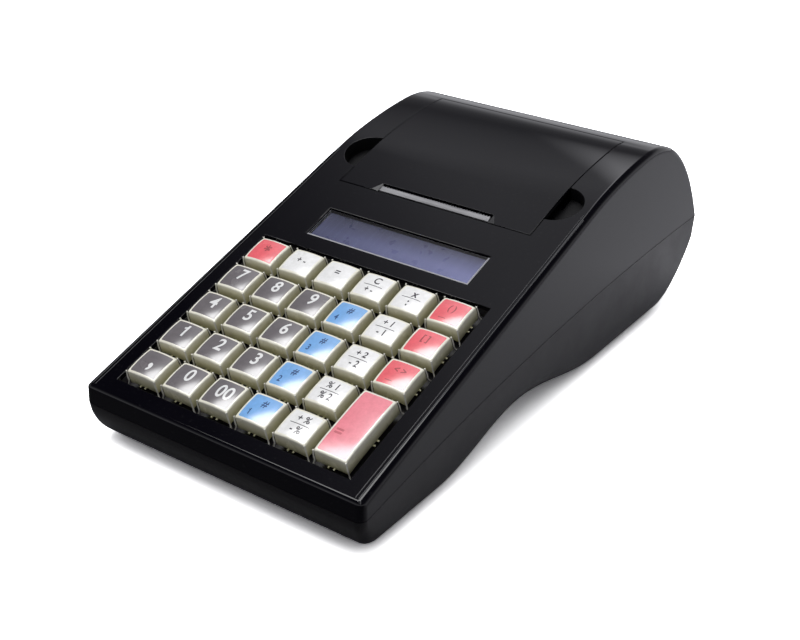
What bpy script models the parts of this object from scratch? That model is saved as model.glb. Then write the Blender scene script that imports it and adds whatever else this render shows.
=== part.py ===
"""Portable ticket register: a sloping keyboard and display over a receipt printer.

Metres, +Z up, the keyboard faces -Y and the ground is z = 0.
The deck frame lies on the sloping deck: x across, v up the slope from the front edge, h out of it.
"""
import math

import bmesh
import bpy
from mathutils import Vector

MM = 0.001

# Body
SIDE_BAND = 11.375 * MM
TAIL_LENGTH = 119.075 * MM
ROOF_RISE = 10.36 * MM
ROOF_APEX_SETBACK = 60.3 * MM
WALL = 2.2 * MM
BELLY_HEIGHT = 1.5 * MM
SIDE_DRAFT = 0.03
TOP_EDGE_RADIUS = 3.0 * MM
CORNER_RADIUS = 5.0 * MM
BELLY_EDGE_RADIUS = 8.0 * MM
GAP = 0.3 * MM
OVERRUN = 2.0 * MM

# Line between the cover and the base, climbing to the rear
PARTING_FRONT = 18.5 * MM
PARTING_REAR = 44.6 * MM
PARTING_POWER = 2.1

# Deck
DECK_TILT = math.radians(18.7)
COVER_FRONT_HEIGHT = 8.6 * MM
DECK_SETBACK = 0.7 * MM
DECK_EDGE_ROUND = 1.6 * MM
RIM_INSET = 4.0 * MM
RIM_WIDTH = 1.5 * MM
RIM_HEIGHT = 0.4 * MM
RIM_REAR_MARGIN = 10.1 * MM

# Handles of the curves that close the side outline
ROOF_FRONT_REACH = 19.5 * MM
ROOF_FRONT_FLAT = 11.6 * MM
ROOF_REAR_FLAT = 35.0 * MM
ROOF_REAR_REACH = 20.0 * MM
ROOF_REAR_LEAN = math.radians(25.0)
TAIL_LOW_HEIGHT = 33.0 * MM
TAIL_BELLY_SETBACK = 34.0 * MM
TAIL_FLAT = 15.0 * MM
TAIL_DROP = 9.0 * MM
NOSE_LENGTH = 13.0 * MM

# Arch under the base
ARCH_SETBACK = 113.0 * MM
ARCH_HEIGHT = 13.2 * MM
ARCH_FRONT_LENGTH = 60.0 * MM
ARCH_REAR_LENGTH = 76.0 * MM

# Keys
KEY_PITCH = 19.05 * MM
KEY_TOP_WIDTH = 15.0 * MM
KEY_TOP_LENGTH = 14.5 * MM
KEY_FLARE = 1.3 * MM
KEY_CAP_HEIGHT = 6.4 * MM
KEY_PROUD = 4.3 * MM
KEY_EDGE = 0.7 * MM
KEY_STEM = 4.0 * MM
KEY_STEM_LENGTH = 9.4 * MM
KEY_TRAVEL = 3.0 * MM
WELL_FRONT_V = 7.35 * MM
WELL_SIDE_CLEARANCE = 2.2 * MM
WELL_BACK_CLEARANCE = 3.4 * MM
WELL_FRONT_CLEARANCE = 2.0 * MM
STEM_CLEARANCE = 0.5 * MM
PLATE_THICKNESS = 2.6 * MM
PLATE_RIM = 2.4 * MM
MAT_THICKNESS = 0.8 * MM
BOARD_THICKNESS = 1.6 * MM

# Display
WINDOW_BAND = 8.45 * MM
WINDOW_SIDE_BAND = 27.6 * MM
WINDOW_LENGTH = 19.2 * MM
WINDOW_THICKNESS = 1.5 * MM
WINDOW_SINK = 0.4 * MM
WINDOW_LEDGE = 2.2 * MM
DISPLAY_BOSS_MARGIN = 2.4 * MM
DISPLAY_BOSS_DEPTH = 5.2 * MM
LCD_THICKNESS = 5.0 * MM

# Printer lid, paper slot and thumb scoops
LID_SIDE_BAND = 19.7 * MM
LID_BAND = 18.9 * MM
LID_FLAT = 25.0 * MM
LID_REACH = 30.2 * MM
LID_GAP = 0.45 * MM
NOTCH_SPARE = 4.15 * MM
NOTCH_TAPER = 4.0 * MM
NOTCH_LENGTH = 5.6 * MM
TEAR_SPARE = 0.35 * MM
TEAR_LENGTH = 2.9 * MM
TEAR_THICKNESS = 1.0 * MM
TEAR_SINK = 0.5 * MM
LEDGE_THICKNESS = 2.0 * MM
SCOOP_SETBACK = 23.7 * MM
SCOOP_RADIUS = 12.0 * MM
SCOOP_DEPTH = 7.0 * MM
SCOOP_WALL = 1.6 * MM
HINGE_SETBACK = 8.0 * MM
HINGE_DEPTH = 2.6 * MM
PIN_RADIUS = 1.2 * MM
PIN_REACH = 5.5 * MM
EAR_WIDTH = 7.0 * MM
EAR_HALF_DEPTH = 3.4 * MM

# Paper and its tub
TUB_SETBACK = 31.075 * MM
TUB_RIM_DROP = 5.04 * MM
TUB_WALL_HEIGHT = 18.5 * MM
TUB_RADIUS = 25.0 * MM
TUB_WALL = 2.0 * MM
PAPER_WIDTH = 57.0 * MM
PAPER_SIDE_CLEARANCE = 1.0 * MM
ROLL_RADIUS = 21.0 * MM
CORE_RADIUS = 8.5 * MM
CORE_BORE = 6.5 * MM
LEG_WIDTH = 3.0 * MM
LEG_X = 22.0 * MM
LEG_LENGTH = 24.0 * MM
SHELF_SETBACK = 5.0 * MM

# Printer mechanism
PLATEN_ADVANCE = 13.425 * MM
PLATEN_DROP = 19.54 * MM
PLATEN_RADIUS = 6.0 * MM
PLATEN_SHAFT_RADIUS = 2.0 * MM
SHAFT_CLEARANCE = 0.35 * MM
FRAME_SPARE = 3.5 * MM
FRAME_WALL = 1.6 * MM
FRAME_ADVANCE = 13.1 * MM
FRAME_DEPTH = 28.5 * MM
FRAME_RISE = 4.5 * MM
HEAD_REACH = 5.9 * MM
GEAR_MODULE = 0.8 * MM
GEAR_WIDTH = 3.2 * MM
GEAR_OFFSET = 1.0 * MM
PINION_TEETH = 10
IDLER_TEETH = 24
PLATEN_TEETH = 18
MOTOR_SHIFT = 0.5 * MM
MOTOR_DROP = 16.0 * MM
MOTOR_RADIUS = 9.5 * MM
MOTOR_LENGTH = 17.0 * MM
MOTOR_SHAFT_RADIUS = 1.0 * MM
AXLE_RADIUS = 1.5 * MM

# Boards, sockets and battery
MAIN_BOARD_INSET = 14.0 * MM
MAIN_BOARD_LENGTH = 50.0 * MM
MAIN_BOARD_SETBACK = 7.0 * MM
MAIN_BOARD_DROP = 15.6 * MM
POST_RADIUS = 3.0 * MM
POST_INSET = 5.0 * MM
JACK_INSET = 12.0 * MM
JACK_WIDTH = 9.0 * MM
JACK_HEIGHT = 11.0 * MM
JACK_LENGTH = 14.0 * MM
JACK_BORE = 3.0 * MM
SOCKET_PITCH = 22.0 * MM
SOCKET_WIDTH = 13.0 * MM
SOCKET_HEIGHT = 11.5 * MM
SOCKET_MOUTH_WALL = 1.5 * MM
SOCKET_MOUTH_DEPTH = 9.0 * MM
BAY_INSET = 18.0 * MM
BAY_LENGTH = 64.5 * MM
BAY_ADVANCE = 2.5 * MM
BAY_LOW_Z = 3.4 * MM
DOOR_MARGIN = 7.0 * MM
BATTERY_HEIGHT = 13.0 * MM
BATTERY_ROUND = 3.0 * MM
BATTERY_MARGIN = 5.0 * MM

# Feet
FOOT_INSET = 16.0 * MM
FOOT_FRONT_SETBACK = 27.0 * MM
FOOT_REAR_SETBACK = 51.0 * MM
FOOT_RADIUS = 6.0 * MM
FOOT_HEIGHT = 2.4 * MM

# Keyboard from the back row to the front; the last red key is two rows long
KEY_ROWS = (
    ("red", "white", "white", "white", "white", "red"),
    ("grey", "grey", "grey", "blue", "white", "red"),
    ("grey", "grey", "grey", "blue", "white", "red"),
    ("grey", "grey", "grey", "blue", "white", "total"),
    ("grey", "grey", "grey", "blue", "white", None),
)
NUMBER_NAMES = ("7", "8", "9", "4", "5", "6", "1", "2", "3", "comma", "0", "00")
COLUMNS = 6
ROWS = 5

COLOURS = {
    "gloss_black": ((0.012, 0.012, 0.014), 0.22, 0.0),
    "satin_black": ((0.035, 0.034, 0.037), 0.45, 0.0),
    "rubber": ((0.02, 0.02, 0.02), 0.85, 0.0),
    "grey": ((0.33, 0.31, 0.30), 0.3, 0.0),
    "white": ((0.85, 0.85, 0.83), 0.3, 0.0),
    "red": ((0.75, 0.22, 0.24), 0.3, 0.0),
    "total": ((0.80, 0.28, 0.31), 0.3, 0.0),
    "blue": ((0.16, 0.42, 0.75), 0.3, 0.0),
    "window": ((0.35, 0.37, 0.48), 0.08, 0.0),
    "lcd": ((0.12, 0.13, 0.30), 0.25, 0.0),
    "board": ((0.03, 0.20, 0.08), 0.5, 0.0),
    "steel": ((0.55, 0.55, 0.56), 0.35, 1.0),
    "aluminium": ((0.70, 0.70, 0.71), 0.35, 1.0),
    "paper": ((0.88, 0.88, 0.86), 0.8, 0.0),
    "card": ((0.45, 0.33, 0.22), 0.8, 0.0),
    "white_nylon": ((0.80, 0.79, 0.74), 0.4, 0.0),
    "battery": ((0.05, 0.14, 0.33), 0.4, 0.0),
}

# The body is as wide as the keyboard with its side bands, and the deck as long as what lies on it
FIELD_HALF_WIDTH = (COLUMNS - 1) * KEY_PITCH / 2 + KEY_TOP_WIDTH / 2 + KEY_FLARE
WELL_HALF_WIDTH = FIELD_HALF_WIDTH + WELL_SIDE_CLEARANCE
BODY_WIDTH = 2 * (WELL_HALF_WIDTH + SIDE_BAND)
RIM_CENTRE = BODY_WIDTH / 2 - RIM_INSET
KEY_HALF_LENGTH = KEY_TOP_LENGTH / 2 + KEY_FLARE
FIRST_ROW_V = WELL_FRONT_V + WELL_FRONT_CLEARANCE + KEY_HALF_LENGTH
WELL_REAR_V = FIRST_ROW_V + (ROWS - 1) * KEY_PITCH + KEY_HALF_LENGTH + WELL_BACK_CLEARANCE
WINDOW_V = WELL_REAR_V + WINDOW_BAND + WINDOW_LENGTH / 2
WINDOW_WIDTH = BODY_WIDTH - 2 * WINDOW_SIDE_BAND
LID_FRONT_V = WINDOW_V + WINDOW_LENGTH / 2 + LID_BAND
LID_WIDTH = BODY_WIDTH - 2 * LID_SIDE_BAND
SCOOP_V = LID_FRONT_V + SCOOP_SETBACK
DECK_LENGTH = LID_FRONT_V + LID_FLAT
BODY_LENGTH = DECK_SETBACK + DECK_LENGTH * math.cos(DECK_TILT) + TAIL_LENGTH
FRONT_Y = -BODY_LENGTH / 2
REAR_Y = BODY_LENGTH / 2
DECK_Y = FRONT_Y + DECK_SETBACK
DECK_FRONT_HEIGHT = PARTING_FRONT + COVER_FRONT_HEIGHT
DECK_END_Y = DECK_Y + DECK_LENGTH * math.cos(DECK_TILT)
DECK_END_Z = DECK_FRONT_HEIGHT + DECK_LENGTH * math.sin(DECK_TILT)
ROOF_HEIGHT = DECK_END_Z + ROOF_RISE
ROOF_APEX_Y = REAR_Y - ROOF_APEX_SETBACK

# The tub and the printer hang from the end of the deck, and the lid covers both
TEAR_WIDTH = PAPER_WIDTH + 2 * TEAR_SPARE
NOTCH_WIDTH = TEAR_WIDTH + 2 * NOTCH_SPARE
TUB_Y = DECK_END_Y + TUB_SETBACK
TUB_RIM_HEIGHT = DECK_END_Z - TUB_RIM_DROP
TUB_Z = TUB_RIM_HEIGHT - TUB_WALL_HEIGHT
LID_REAR_Y = TUB_Y + LID_REACH
PLATEN_Y = DECK_END_Y - PLATEN_ADVANCE
PLATEN_Z = DECK_END_Z - PLATEN_DROP
FRAME_INNER = PAPER_WIDTH / 2 + FRAME_SPARE
FRAME_FRONT_Y = PLATEN_Y - FRAME_ADVANCE
FRAME_REAR_Y = TUB_Y - TUB_RADIUS - TUB_WALL
FRAME_FLOOR_Z = PLATEN_Z - FRAME_DEPTH
FRAME_TOP_Z = PLATEN_Z + FRAME_RISE
HEAD_LOW_Z = PLATEN_Z - HEAD_REACH
MOTOR_Y = PLATEN_Y + MOTOR_SHIFT
MOTOR_Z = PLATEN_Z - MOTOR_DROP

# What stands in the base follows its ends, its sides and the parting line
MAIN_BOARD_WIDTH = BODY_WIDTH - 2 * MAIN_BOARD_INSET
MAIN_BOARD_REAR_Y = REAR_Y - MAIN_BOARD_SETBACK
MAIN_BOARD_FRONT_Y = MAIN_BOARD_REAR_Y - MAIN_BOARD_LENGTH
MAIN_BOARD_Z = PARTING_REAR - MAIN_BOARD_DROP
JACK_X = JACK_INSET - MAIN_BOARD_WIDTH / 2
SOCKET_X = JACK_X + SOCKET_PITCH
ARCH_Y = FRONT_Y + ARCH_SETBACK
BAY_WIDTH = BODY_WIDTH - 2 * BAY_INSET
BAY_REAR_Y = ARCH_Y - BAY_ADVANCE
BAY_FRONT_Y = BAY_REAR_Y - BAY_LENGTH
FOOT_X = BODY_WIDTH / 2 - FOOT_INSET
FOOT_FRONT_Y = FRONT_Y + FOOT_FRONT_SETBACK
FOOT_REAR_Y = REAR_Y - FOOT_REAR_SETBACK

for old in list(bpy.data.objects):
    bpy.data.objects.remove(old, do_unlink=True)

parts = bpy.data.collections.new("ticket_register")
cutters = bpy.data.collections.new("cutters")
bpy.context.scene.collection.children.link(parts)
bpy.context.scene.collection.children.link(cutters)


# Materials and small helpers

def make_material(name):
    """A Principled material with the piece's colour, roughness and metallic value."""
    if name in bpy.data.materials:
        return bpy.data.materials[name]
    colour, roughness, metallic = COLOURS[name]
    material = bpy.data.materials.new(name)
    material.use_nodes = True
    shader = material.node_tree.nodes["Principled BSDF"]
    shader.inputs["Base Color"].default_value = (*colour, 1.0)
    shader.inputs["Roughness"].default_value = roughness
    shader.inputs["Metallic"].default_value = metallic
    material.diffuse_color = (*colour, 1.0)
    return material


def place(obj, collection):
    """Moves an object to one collection only."""
    for owner in list(obj.users_collection):
        owner.objects.unlink(obj)
    collection.objects.link(obj)
    return obj


def as_part(obj, material):
    """Makes an object a piece of the register, with its material."""
    place(obj, parts)
    obj.data.materials.clear()
    obj.data.materials.append(make_material(material))
    return obj


def as_cutter(obj):
    """Keeps an object as a hidden tool for Booleans."""
    place(obj, cutters)
    obj.hide_render = True
    obj.display_type = "WIRE"
    return obj


def boolean(target, tool, operation="DIFFERENCE"):
    """Cuts or joins a tool object into the target."""
    as_cutter(tool)
    modifier = target.modifiers.new(operation.lower(), "BOOLEAN")
    modifier.operation = operation
    modifier.solver = "EXACT"
    modifier.object = tool
    return target


def box(name, low, high):
    """A box between two corners, its own origin at its centre."""
    low = Vector(low)
    high = Vector(high)
    bpy.ops.mesh.primitive_cube_add(size=1, location=(low + high) / 2)
    obj = bpy.context.object
    obj.name = name
    for vertex in obj.data.vertices:
        for axis in range(3):
            vertex.co[axis] *= high[axis] - low[axis]
    return obj


def cylinder(name, radius, x_low, x_high, y, z, sides=24):
    """A cylinder along X."""
    centre = ((x_low + x_high) / 2, y, z)
    bpy.ops.mesh.primitive_cylinder_add(
        vertices=sides, radius=radius, depth=x_high - x_low, location=centre,
        rotation=(0, math.pi / 2, 0))
    obj = bpy.context.object
    obj.name = name
    smooth(obj)
    return obj


def upright(name, radius, x, y, z_low, z_high, sides=24):
    """A cylinder along Z."""
    bpy.ops.mesh.primitive_cylinder_add(
        vertices=sides, radius=radius, depth=z_high - z_low, location=(x, y, (z_low + z_high) / 2))
    obj = bpy.context.object
    obj.name = name
    smooth(obj)
    return obj


def smooth(obj):
    """Shades round faces smooth and keeps the sharp edges."""
    obj.data.shade_smooth()
    obj.data.set_sharp_from_angle(angle=math.radians(35))


def solid_from_outline(name, outline, low, high):
    """A flat outline, given as (y, z) points, extruded from x = low to x = high."""
    curve = bpy.data.curves.new(name, "CURVE")
    curve.dimensions = "2D"
    curve.fill_mode = "BOTH"
    curve.extrude = (high - low) / 2
    spline = curve.splines.new("POLY")
    spline.points.add(len(outline) - 1)
    for point, (y, z) in zip(spline.points, outline):
        point.co = (y, z, 0, 1)
    spline.use_cyclic_u = True
    drawn = bpy.data.objects.new(name, curve)
    parts.objects.link(drawn)
    drawn.rotation_euler = (math.pi / 2, 0, math.pi / 2)
    drawn.location = ((low + high) / 2, 0, 0)
    bpy.context.view_layer.update()
    mesh = bpy.data.meshes.new_from_object(drawn.evaluated_get(bpy.context.evaluated_depsgraph_get()))
    mesh.transform(drawn.matrix_world)
    bpy.data.objects.remove(drawn, do_unlink=True)
    shape = bmesh.new()
    shape.from_mesh(mesh)
    bmesh.ops.remove_doubles(shape, verts=shape.verts, dist=GAP / 30)
    bmesh.ops.dissolve_limit(shape, angle_limit=math.radians(0.5), verts=shape.verts, edges=shape.edges)
    bmesh.ops.recalc_face_normals(shape, faces=shape.faces)
    shape.to_mesh(mesh)
    shape.free()
    return bpy.data.objects.new(name, mesh)


# Outlines, as (y, z) points

def bezier(start, start_handle, end_handle, end, count):
    """Points on a cubic curve, both ends included."""
    points = []
    for step in range(count + 1):
        t = step / count
        weights = ((1 - t) ** 3, 3 * t * (1 - t) ** 2, 3 * t * t * (1 - t), t ** 3)
        corners = (start, start_handle, end_handle, end)
        y = sum(w * c[0] for w, c in zip(weights, corners))
        z = sum(w * c[1] for w, c in zip(weights, corners))
        points.append((y, z))
    return points


def offset_line(points, distance):
    """The line moved to its left by a distance, corner by corner."""
    moved = []
    for index, (y, z) in enumerate(points):
        before = points[max(index - 1, 0)]
        after = points[min(index + 1, len(points) - 1)]
        into = Vector((y - before[0], z - before[1]))
        out = Vector((after[0] - y, after[1] - z))
        into = into.normalized() if into.length else out.normalized()
        out = out.normalized() if out.length else into
        normal = Vector((-(into.y + out.y), into.x + out.x)).normalized()
        stretch = 1 / max(math.sqrt((1 + into.dot(out)) / 2), 0.5)
        moved.append((y + normal.x * distance * stretch, z + normal.y * distance * stretch))
    return moved


def parting(y):
    """Height of the line between cover and base at a place along the body."""
    share = min(max((y - FRONT_Y) / BODY_LENGTH, 0), 1)
    return PARTING_REAR - (PARTING_REAR - PARTING_FRONT) * (1 - share) ** PARTING_POWER


def deck_point(v, h=0):
    """The (y, z) place of a point given up the deck's slope and out of the deck."""
    y = DECK_Y + v * math.cos(DECK_TILT) - h * math.sin(DECK_TILT)
    z = DECK_FRONT_HEIGHT + v * math.sin(DECK_TILT) + h * math.cos(DECK_TILT)
    return (y, z)


def cover_line():
    """Outer side line of the cover, from the front parting over the roof to the rear parting."""
    start = (FRONT_Y, PARTING_FRONT)
    corner = deck_point(-DECK_SETBACK / math.cos(DECK_TILT))
    deck_end = deck_point(DECK_LENGTH)
    apex = (ROOF_APEX_Y, ROOF_HEIGHT)
    front = bezier(deck_end, deck_point(DECK_LENGTH + ROOF_FRONT_REACH),
                   (ROOF_APEX_Y - ROOF_FRONT_FLAT, ROOF_HEIGHT), apex, 8)
    end = (REAR_Y, PARTING_REAR)
    lean = (REAR_Y - ROOF_REAR_REACH * math.sin(ROOF_REAR_LEAN),
            PARTING_REAR + ROOF_REAR_REACH * math.cos(ROOF_REAR_LEAN))
    rear = bezier(apex, (ROOF_APEX_Y + ROOF_REAR_FLAT, ROOF_HEIGHT), lean, end, 12)
    return [start, corner] + front + rear[1:]


def belly(y):
    """Height of the underside along the body: flat, with one arch."""
    reach = ARCH_FRONT_LENGTH if y < ARCH_Y else ARCH_REAR_LENGTH
    share = min(abs(y - ARCH_Y) / reach, 1)
    return BELLY_HEIGHT + (ARCH_HEIGHT - BELLY_HEIGHT) * math.cos(math.pi / 2 * share) ** 2


def base_line():
    """Outer side line of the base, from the rear parting under the belly to the front parting."""
    tail = bezier((REAR_Y, TAIL_LOW_HEIGHT), (REAR_Y, TAIL_LOW_HEIGHT - TAIL_DROP),
                  (REAR_Y - TAIL_BELLY_SETBACK + TAIL_FLAT, BELLY_HEIGHT),
                  (REAR_Y - TAIL_BELLY_SETBACK, BELLY_HEIGHT), 8)
    arch_start = ARCH_Y + ARCH_REAR_LENGTH
    arch_end = ARCH_Y - ARCH_FRONT_LENGTH
    steps = 16
    arch = []
    for step in range(steps + 1):
        y = arch_start + (arch_end - arch_start) * step / steps
        arch.append((y, belly(y)))
    nose_y = FRONT_Y + NOSE_LENGTH
    nose = bezier((nose_y, BELLY_HEIGHT), (nose_y - NOSE_LENGTH / 2, BELLY_HEIGHT),
                  (FRONT_Y, (BELLY_HEIGHT + PARTING_FRONT) / 2), (FRONT_Y, PARTING_FRONT), 6)
    return [(REAR_Y, PARTING_REAR)] + tail + arch + nose


def parting_line(rise, reach, count=14):
    """The parting line from the front to the rear, raised, and run out past both ends."""
    points = [(FRONT_Y - reach, parting(FRONT_Y) + rise)] if reach else []
    for step in range(count + 1):
        y = FRONT_Y + BODY_LENGTH * step / count
        points.append((y, parting(y) + rise))
    if reach:
        points.append((REAR_Y + reach, parting(REAR_Y) + rise))
    return points


def half_width(y, z, inset):
    """Half the body's width: widest at the parting line, drawn in above and below it."""
    level = PARTING_FRONT + (PARTING_REAR - PARTING_FRONT) * (y - FRONT_Y) / BODY_LENGTH
    return BODY_WIDTH / 2 - inset - SIDE_DRAFT * abs(z - level)


def lies_on(point, corners):
    """Whether a mesh point lies at one of the corners, given as (y, z)."""
    return any(math.dist((point.y, point.z), corner) < GAP / 10 for corner in corners)


def body_form(name, line, inset, upper):
    """The closed form of the cover's or the base's half, moved inwards by an inset."""
    line = offset_line(line, -inset)
    nose = [line[1]] if upper else []
    first = line[0]
    last = line[-1]
    run = BODY_WIDTH if inset else 0
    sink = -OVERRUN * 6 if upper else OVERRUN * 6
    if inset:
        line = [(first[0], first[1] + sink)] + line + [(last[0], last[1] + sink)]
        outline = line
    else:
        middle = parting_line(0, run)
        outline = line + (middle[-2:0:-1] if upper else middle[1:-1])
    form = solid_from_outline(name, outline, -BODY_WIDTH / 2, BODY_WIDTH / 2)
    rim = line[1:-1] if inset else line
    weights = form.data.attributes.new("bevel_weight_edge", "FLOAT", "EDGE")
    vertices = form.data.vertices
    wide = BELLY_EDGE_RADIUS
    for edge in form.data.edges:
        a, b = (vertices[i].co for i in edge.vertices)
        if a.x * b.x < 0:
            if lies_on(a, nose):
                weights.data[edge.index].value = max(DECK_EDGE_ROUND - inset, GAP * 2) / wide
            continue
        if not lies_on(a, rim) or not lies_on(b, rim):
            continue
        level_radius = TOP_EDGE_RADIUS if upper else BELLY_EDGE_RADIUS
        steepness = (b - a).normalized().z ** 2
        radius = level_radius + (CORNER_RADIUS - level_radius) * steepness
        weights.data[edge.index].value = max(radius - inset, GAP * 2) / wide
    for vertex in vertices:
        side = 1 if vertex.co.x > 0 else -1
        vertex.co.x = side * half_width(vertex.co.y, vertex.co.z, inset)
    bevel = form.modifiers.new("edges", "BEVEL")
    bevel.limit_method = "WEIGHT"
    bevel.width = wide
    bevel.segments = 4
    bevel.use_clamp_overlap = False
    return form


# The deck frame: an empty that carries what lies on the slope

deck_frame = bpy.data.objects.new("deck_frame", None)
parts.objects.link(deck_frame)
deck_frame.location = (0, *deck_point(0))
deck_frame.rotation_euler = (DECK_TILT, 0, 0)


def on_deck(obj):
    """Places an object, built in deck coordinates (x, v, h), on the slope."""
    obj.parent = deck_frame
    return obj


def deck_box(name, low, high):
    """A box in deck coordinates."""
    return on_deck(box(name, low, high))


# Heights of the keyboard's layers, out of the deck

CAP_BOTTOM_H = KEY_PROUD - KEY_CAP_HEIGHT
PLATE_TOP_H = CAP_BOTTOM_H - KEY_TRAVEL - GAP
PLATE_LOW_H = PLATE_TOP_H - PLATE_THICKNESS
STEM_LOW_H = CAP_BOTTOM_H - KEY_STEM_LENGTH
MAT_TOP_H = STEM_LOW_H - KEY_TRAVEL - GAP
MAT_LOW_H = MAT_TOP_H - MAT_THICKNESS
KEY_BOARD_TOP_H = MAT_LOW_H - GAP
DECK_UNDER_H = -WALL


def column_x(column):
    return (column - (COLUMNS - 1) / 2) * KEY_PITCH


def row_v(row):
    return FIRST_ROW_V + (ROWS - 1 - row) * KEY_PITCH


def key_mesh(colour, span):
    """A key: a flared cap with a softened top edge and a square stem, its origin at its top centre."""
    length = KEY_TOP_LENGTH + (span - 1) * KEY_PITCH
    shape = bmesh.new()
    bmesh.ops.create_cube(shape, size=1)
    for vertex in shape.verts:
        flare = 0 if vertex.co.z > 0 else 2 * KEY_FLARE
        vertex.co.x *= KEY_TOP_WIDTH + flare
        vertex.co.y *= length + flare
        vertex.co.z = 0 if vertex.co.z > 0 else -KEY_CAP_HEIGHT
    low = min(shape.faces, key=lambda face: face.calc_center_median().z)
    bmesh.ops.inset_region(shape, faces=[low], thickness=KEY_TOP_WIDTH / 4)
    for vertex in low.verts:
        vertex.co.x = math.copysign(KEY_STEM / 2, vertex.co.x)
        vertex.co.y = math.copysign(KEY_STEM / 2, vertex.co.y)
    grown = bmesh.ops.extrude_face_region(shape, geom=[low])["geom"]
    for vertex in (item for item in grown if isinstance(item, bmesh.types.BMVert)):
        vertex.co.z -= KEY_STEM_LENGTH
    bmesh.ops.delete(shape, geom=[low], context="FACES_ONLY")
    edges = [edge for edge in shape.edges if min(v.co.z for v in edge.verts) > -KEY_EDGE]
    edges += [edge for edge in shape.edges
              if abs(edge.verts[0].co.z - edge.verts[1].co.z) > KEY_EDGE
              and max(v.co.z for v in edge.verts) > -KEY_EDGE]
    bmesh.ops.bevel(shape, geom=edges, offset=KEY_EDGE, segments=1, affect="EDGES", profile=0.5,
                    material=-1)
    bmesh.ops.recalc_face_normals(shape, faces=shape.faces)
    mesh = bpy.data.meshes.new("key_" + colour)
    shape.to_mesh(mesh)
    shape.free()
    mesh.materials.append(make_material(colour))
    return mesh


def build_keys():
    """The 29 keys on their lattice, on the deck frame."""
    meshes = {}
    counts = {"white": 0, "blue": 0, "red": 0}
    numbers = iter(NUMBER_NAMES)
    for row, colours in enumerate(KEY_ROWS):
        for column, colour in enumerate(colours):
            if colour is None:
                continue
            span = 2 if colour == "total" else 1
            if colour == "grey":
                name = "key_" + next(numbers)
            elif colour == "total":
                name = "key_total"
            else:
                counts[colour] += 1
                name = f"key_{colour}_{counts[colour]}"
            if colour not in meshes:
                meshes[colour] = key_mesh(colour, span)
            key = bpy.data.objects.new(name, meshes[colour])
            parts.objects.link(key)
            on_deck(key)
            v = row_v(row) - (span - 1) * KEY_PITCH / 2
            key.location = (column_x(column), v, KEY_PROUD)


def build_keyboard():
    """Guide plate with its rim and stem holes, contact mat and board."""
    half = WELL_HALF_WIDTH + GAP
    front = WELL_FRONT_V - GAP
    rear = WELL_REAR_V + GAP
    outer_half = half + PLATE_RIM
    plate = deck_box("key_plate", (-outer_half, front - PLATE_RIM, MAT_LOW_H),
                     (outer_half, rear + PLATE_RIM, DECK_UNDER_H - GAP))
    boolean(plate, deck_box("plate_upper_pocket", (-half, front, PLATE_TOP_H), (half, rear, OVERRUN)))
    boolean(plate, deck_box("plate_lower_pocket", (-half, front, MAT_LOW_H - OVERRUN),
                            (half, rear, PLATE_LOW_H)))
    hole = KEY_STEM / 2 + STEM_CLEARANCE
    for row, colours in enumerate(KEY_ROWS):
        for column, colour in enumerate(colours):
            if colour is None:
                continue
            x = column_x(column)
            v = row_v(row) - (KEY_PITCH / 2 if colour == "total" else 0)
            boolean(plate, deck_box(f"stem_hole_{row}_{column}",
                                    (x - hole, v - hole, PLATE_LOW_H - OVERRUN),
                                    (x + hole, v + hole, PLATE_TOP_H + OVERRUN)))
    as_part(plate, "satin_black")
    mat_half = half - GAP
    as_part(deck_box("key_mat", (-mat_half, front + GAP, MAT_LOW_H), (mat_half, rear - GAP, MAT_TOP_H)),
            "rubber")
    as_part(deck_box("key_board", (-outer_half, front - PLATE_RIM, KEY_BOARD_TOP_H - BOARD_THICKNESS),
                     (outer_half, rear + PLATE_RIM, KEY_BOARD_TOP_H)), "board")


# Display, derived from the window

WINDOW_SEAT_H = -WINDOW_SINK - WINDOW_THICKNESS - GAP
BOSS_LOW_H = -DISPLAY_BOSS_DEPTH
LCD_HALF_WIDTH = WINDOW_WIDTH / 2 + DISPLAY_BOSS_MARGIN / 2
LCD_HALF_LENGTH = WINDOW_LENGTH / 2 + DISPLAY_BOSS_MARGIN / 2


def cut_display(cover):
    """Thickens the deck round the window, then cuts the window's seat and its opening."""
    half = WINDOW_WIDTH / 2
    reach = WINDOW_LENGTH / 2
    margin = DISPLAY_BOSS_MARGIN
    boolean(cover, deck_box("display_boss", (-half - margin, WINDOW_V - reach - margin, BOSS_LOW_H),
                            (half + margin, WINDOW_V + reach + margin, -WALL / 2)), "UNION")
    boolean(cover, deck_box("window_seat", (-half, WINDOW_V - reach, WINDOW_SEAT_H),
                            (half, WINDOW_V + reach, OVERRUN)))
    through = WINDOW_LEDGE
    boolean(cover, deck_box("window_opening",
                            (-half + through, WINDOW_V - reach + through, BOSS_LOW_H - OVERRUN),
                            (half - through, WINDOW_V + reach - through, OVERRUN)))


def build_display():
    """Clear window, display module and its board."""
    half = WINDOW_WIDTH / 2 - GAP
    reach = WINDOW_LENGTH / 2 - GAP
    as_part(deck_box("display_window", (-half, WINDOW_V - reach, WINDOW_SEAT_H + GAP),
                     (half, WINDOW_V + reach, -WINDOW_SINK)), "window")
    top = BOSS_LOW_H - GAP
    low = top - LCD_THICKNESS
    as_part(deck_box("lcd_module", (-LCD_HALF_WIDTH, WINDOW_V - LCD_HALF_LENGTH, low),
                     (LCD_HALF_WIDTH, WINDOW_V + LCD_HALF_LENGTH, top)), "lcd")
    as_part(deck_box("display_board",
                     (-LCD_HALF_WIDTH, WINDOW_V - LCD_HALF_LENGTH, low - GAP - BOARD_THICKNESS),
                     (LCD_HALF_WIDTH, WINDOW_V + LCD_HALF_LENGTH, low - GAP)), "board")


# Printer lid, its hinge and the tear bar

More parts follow.
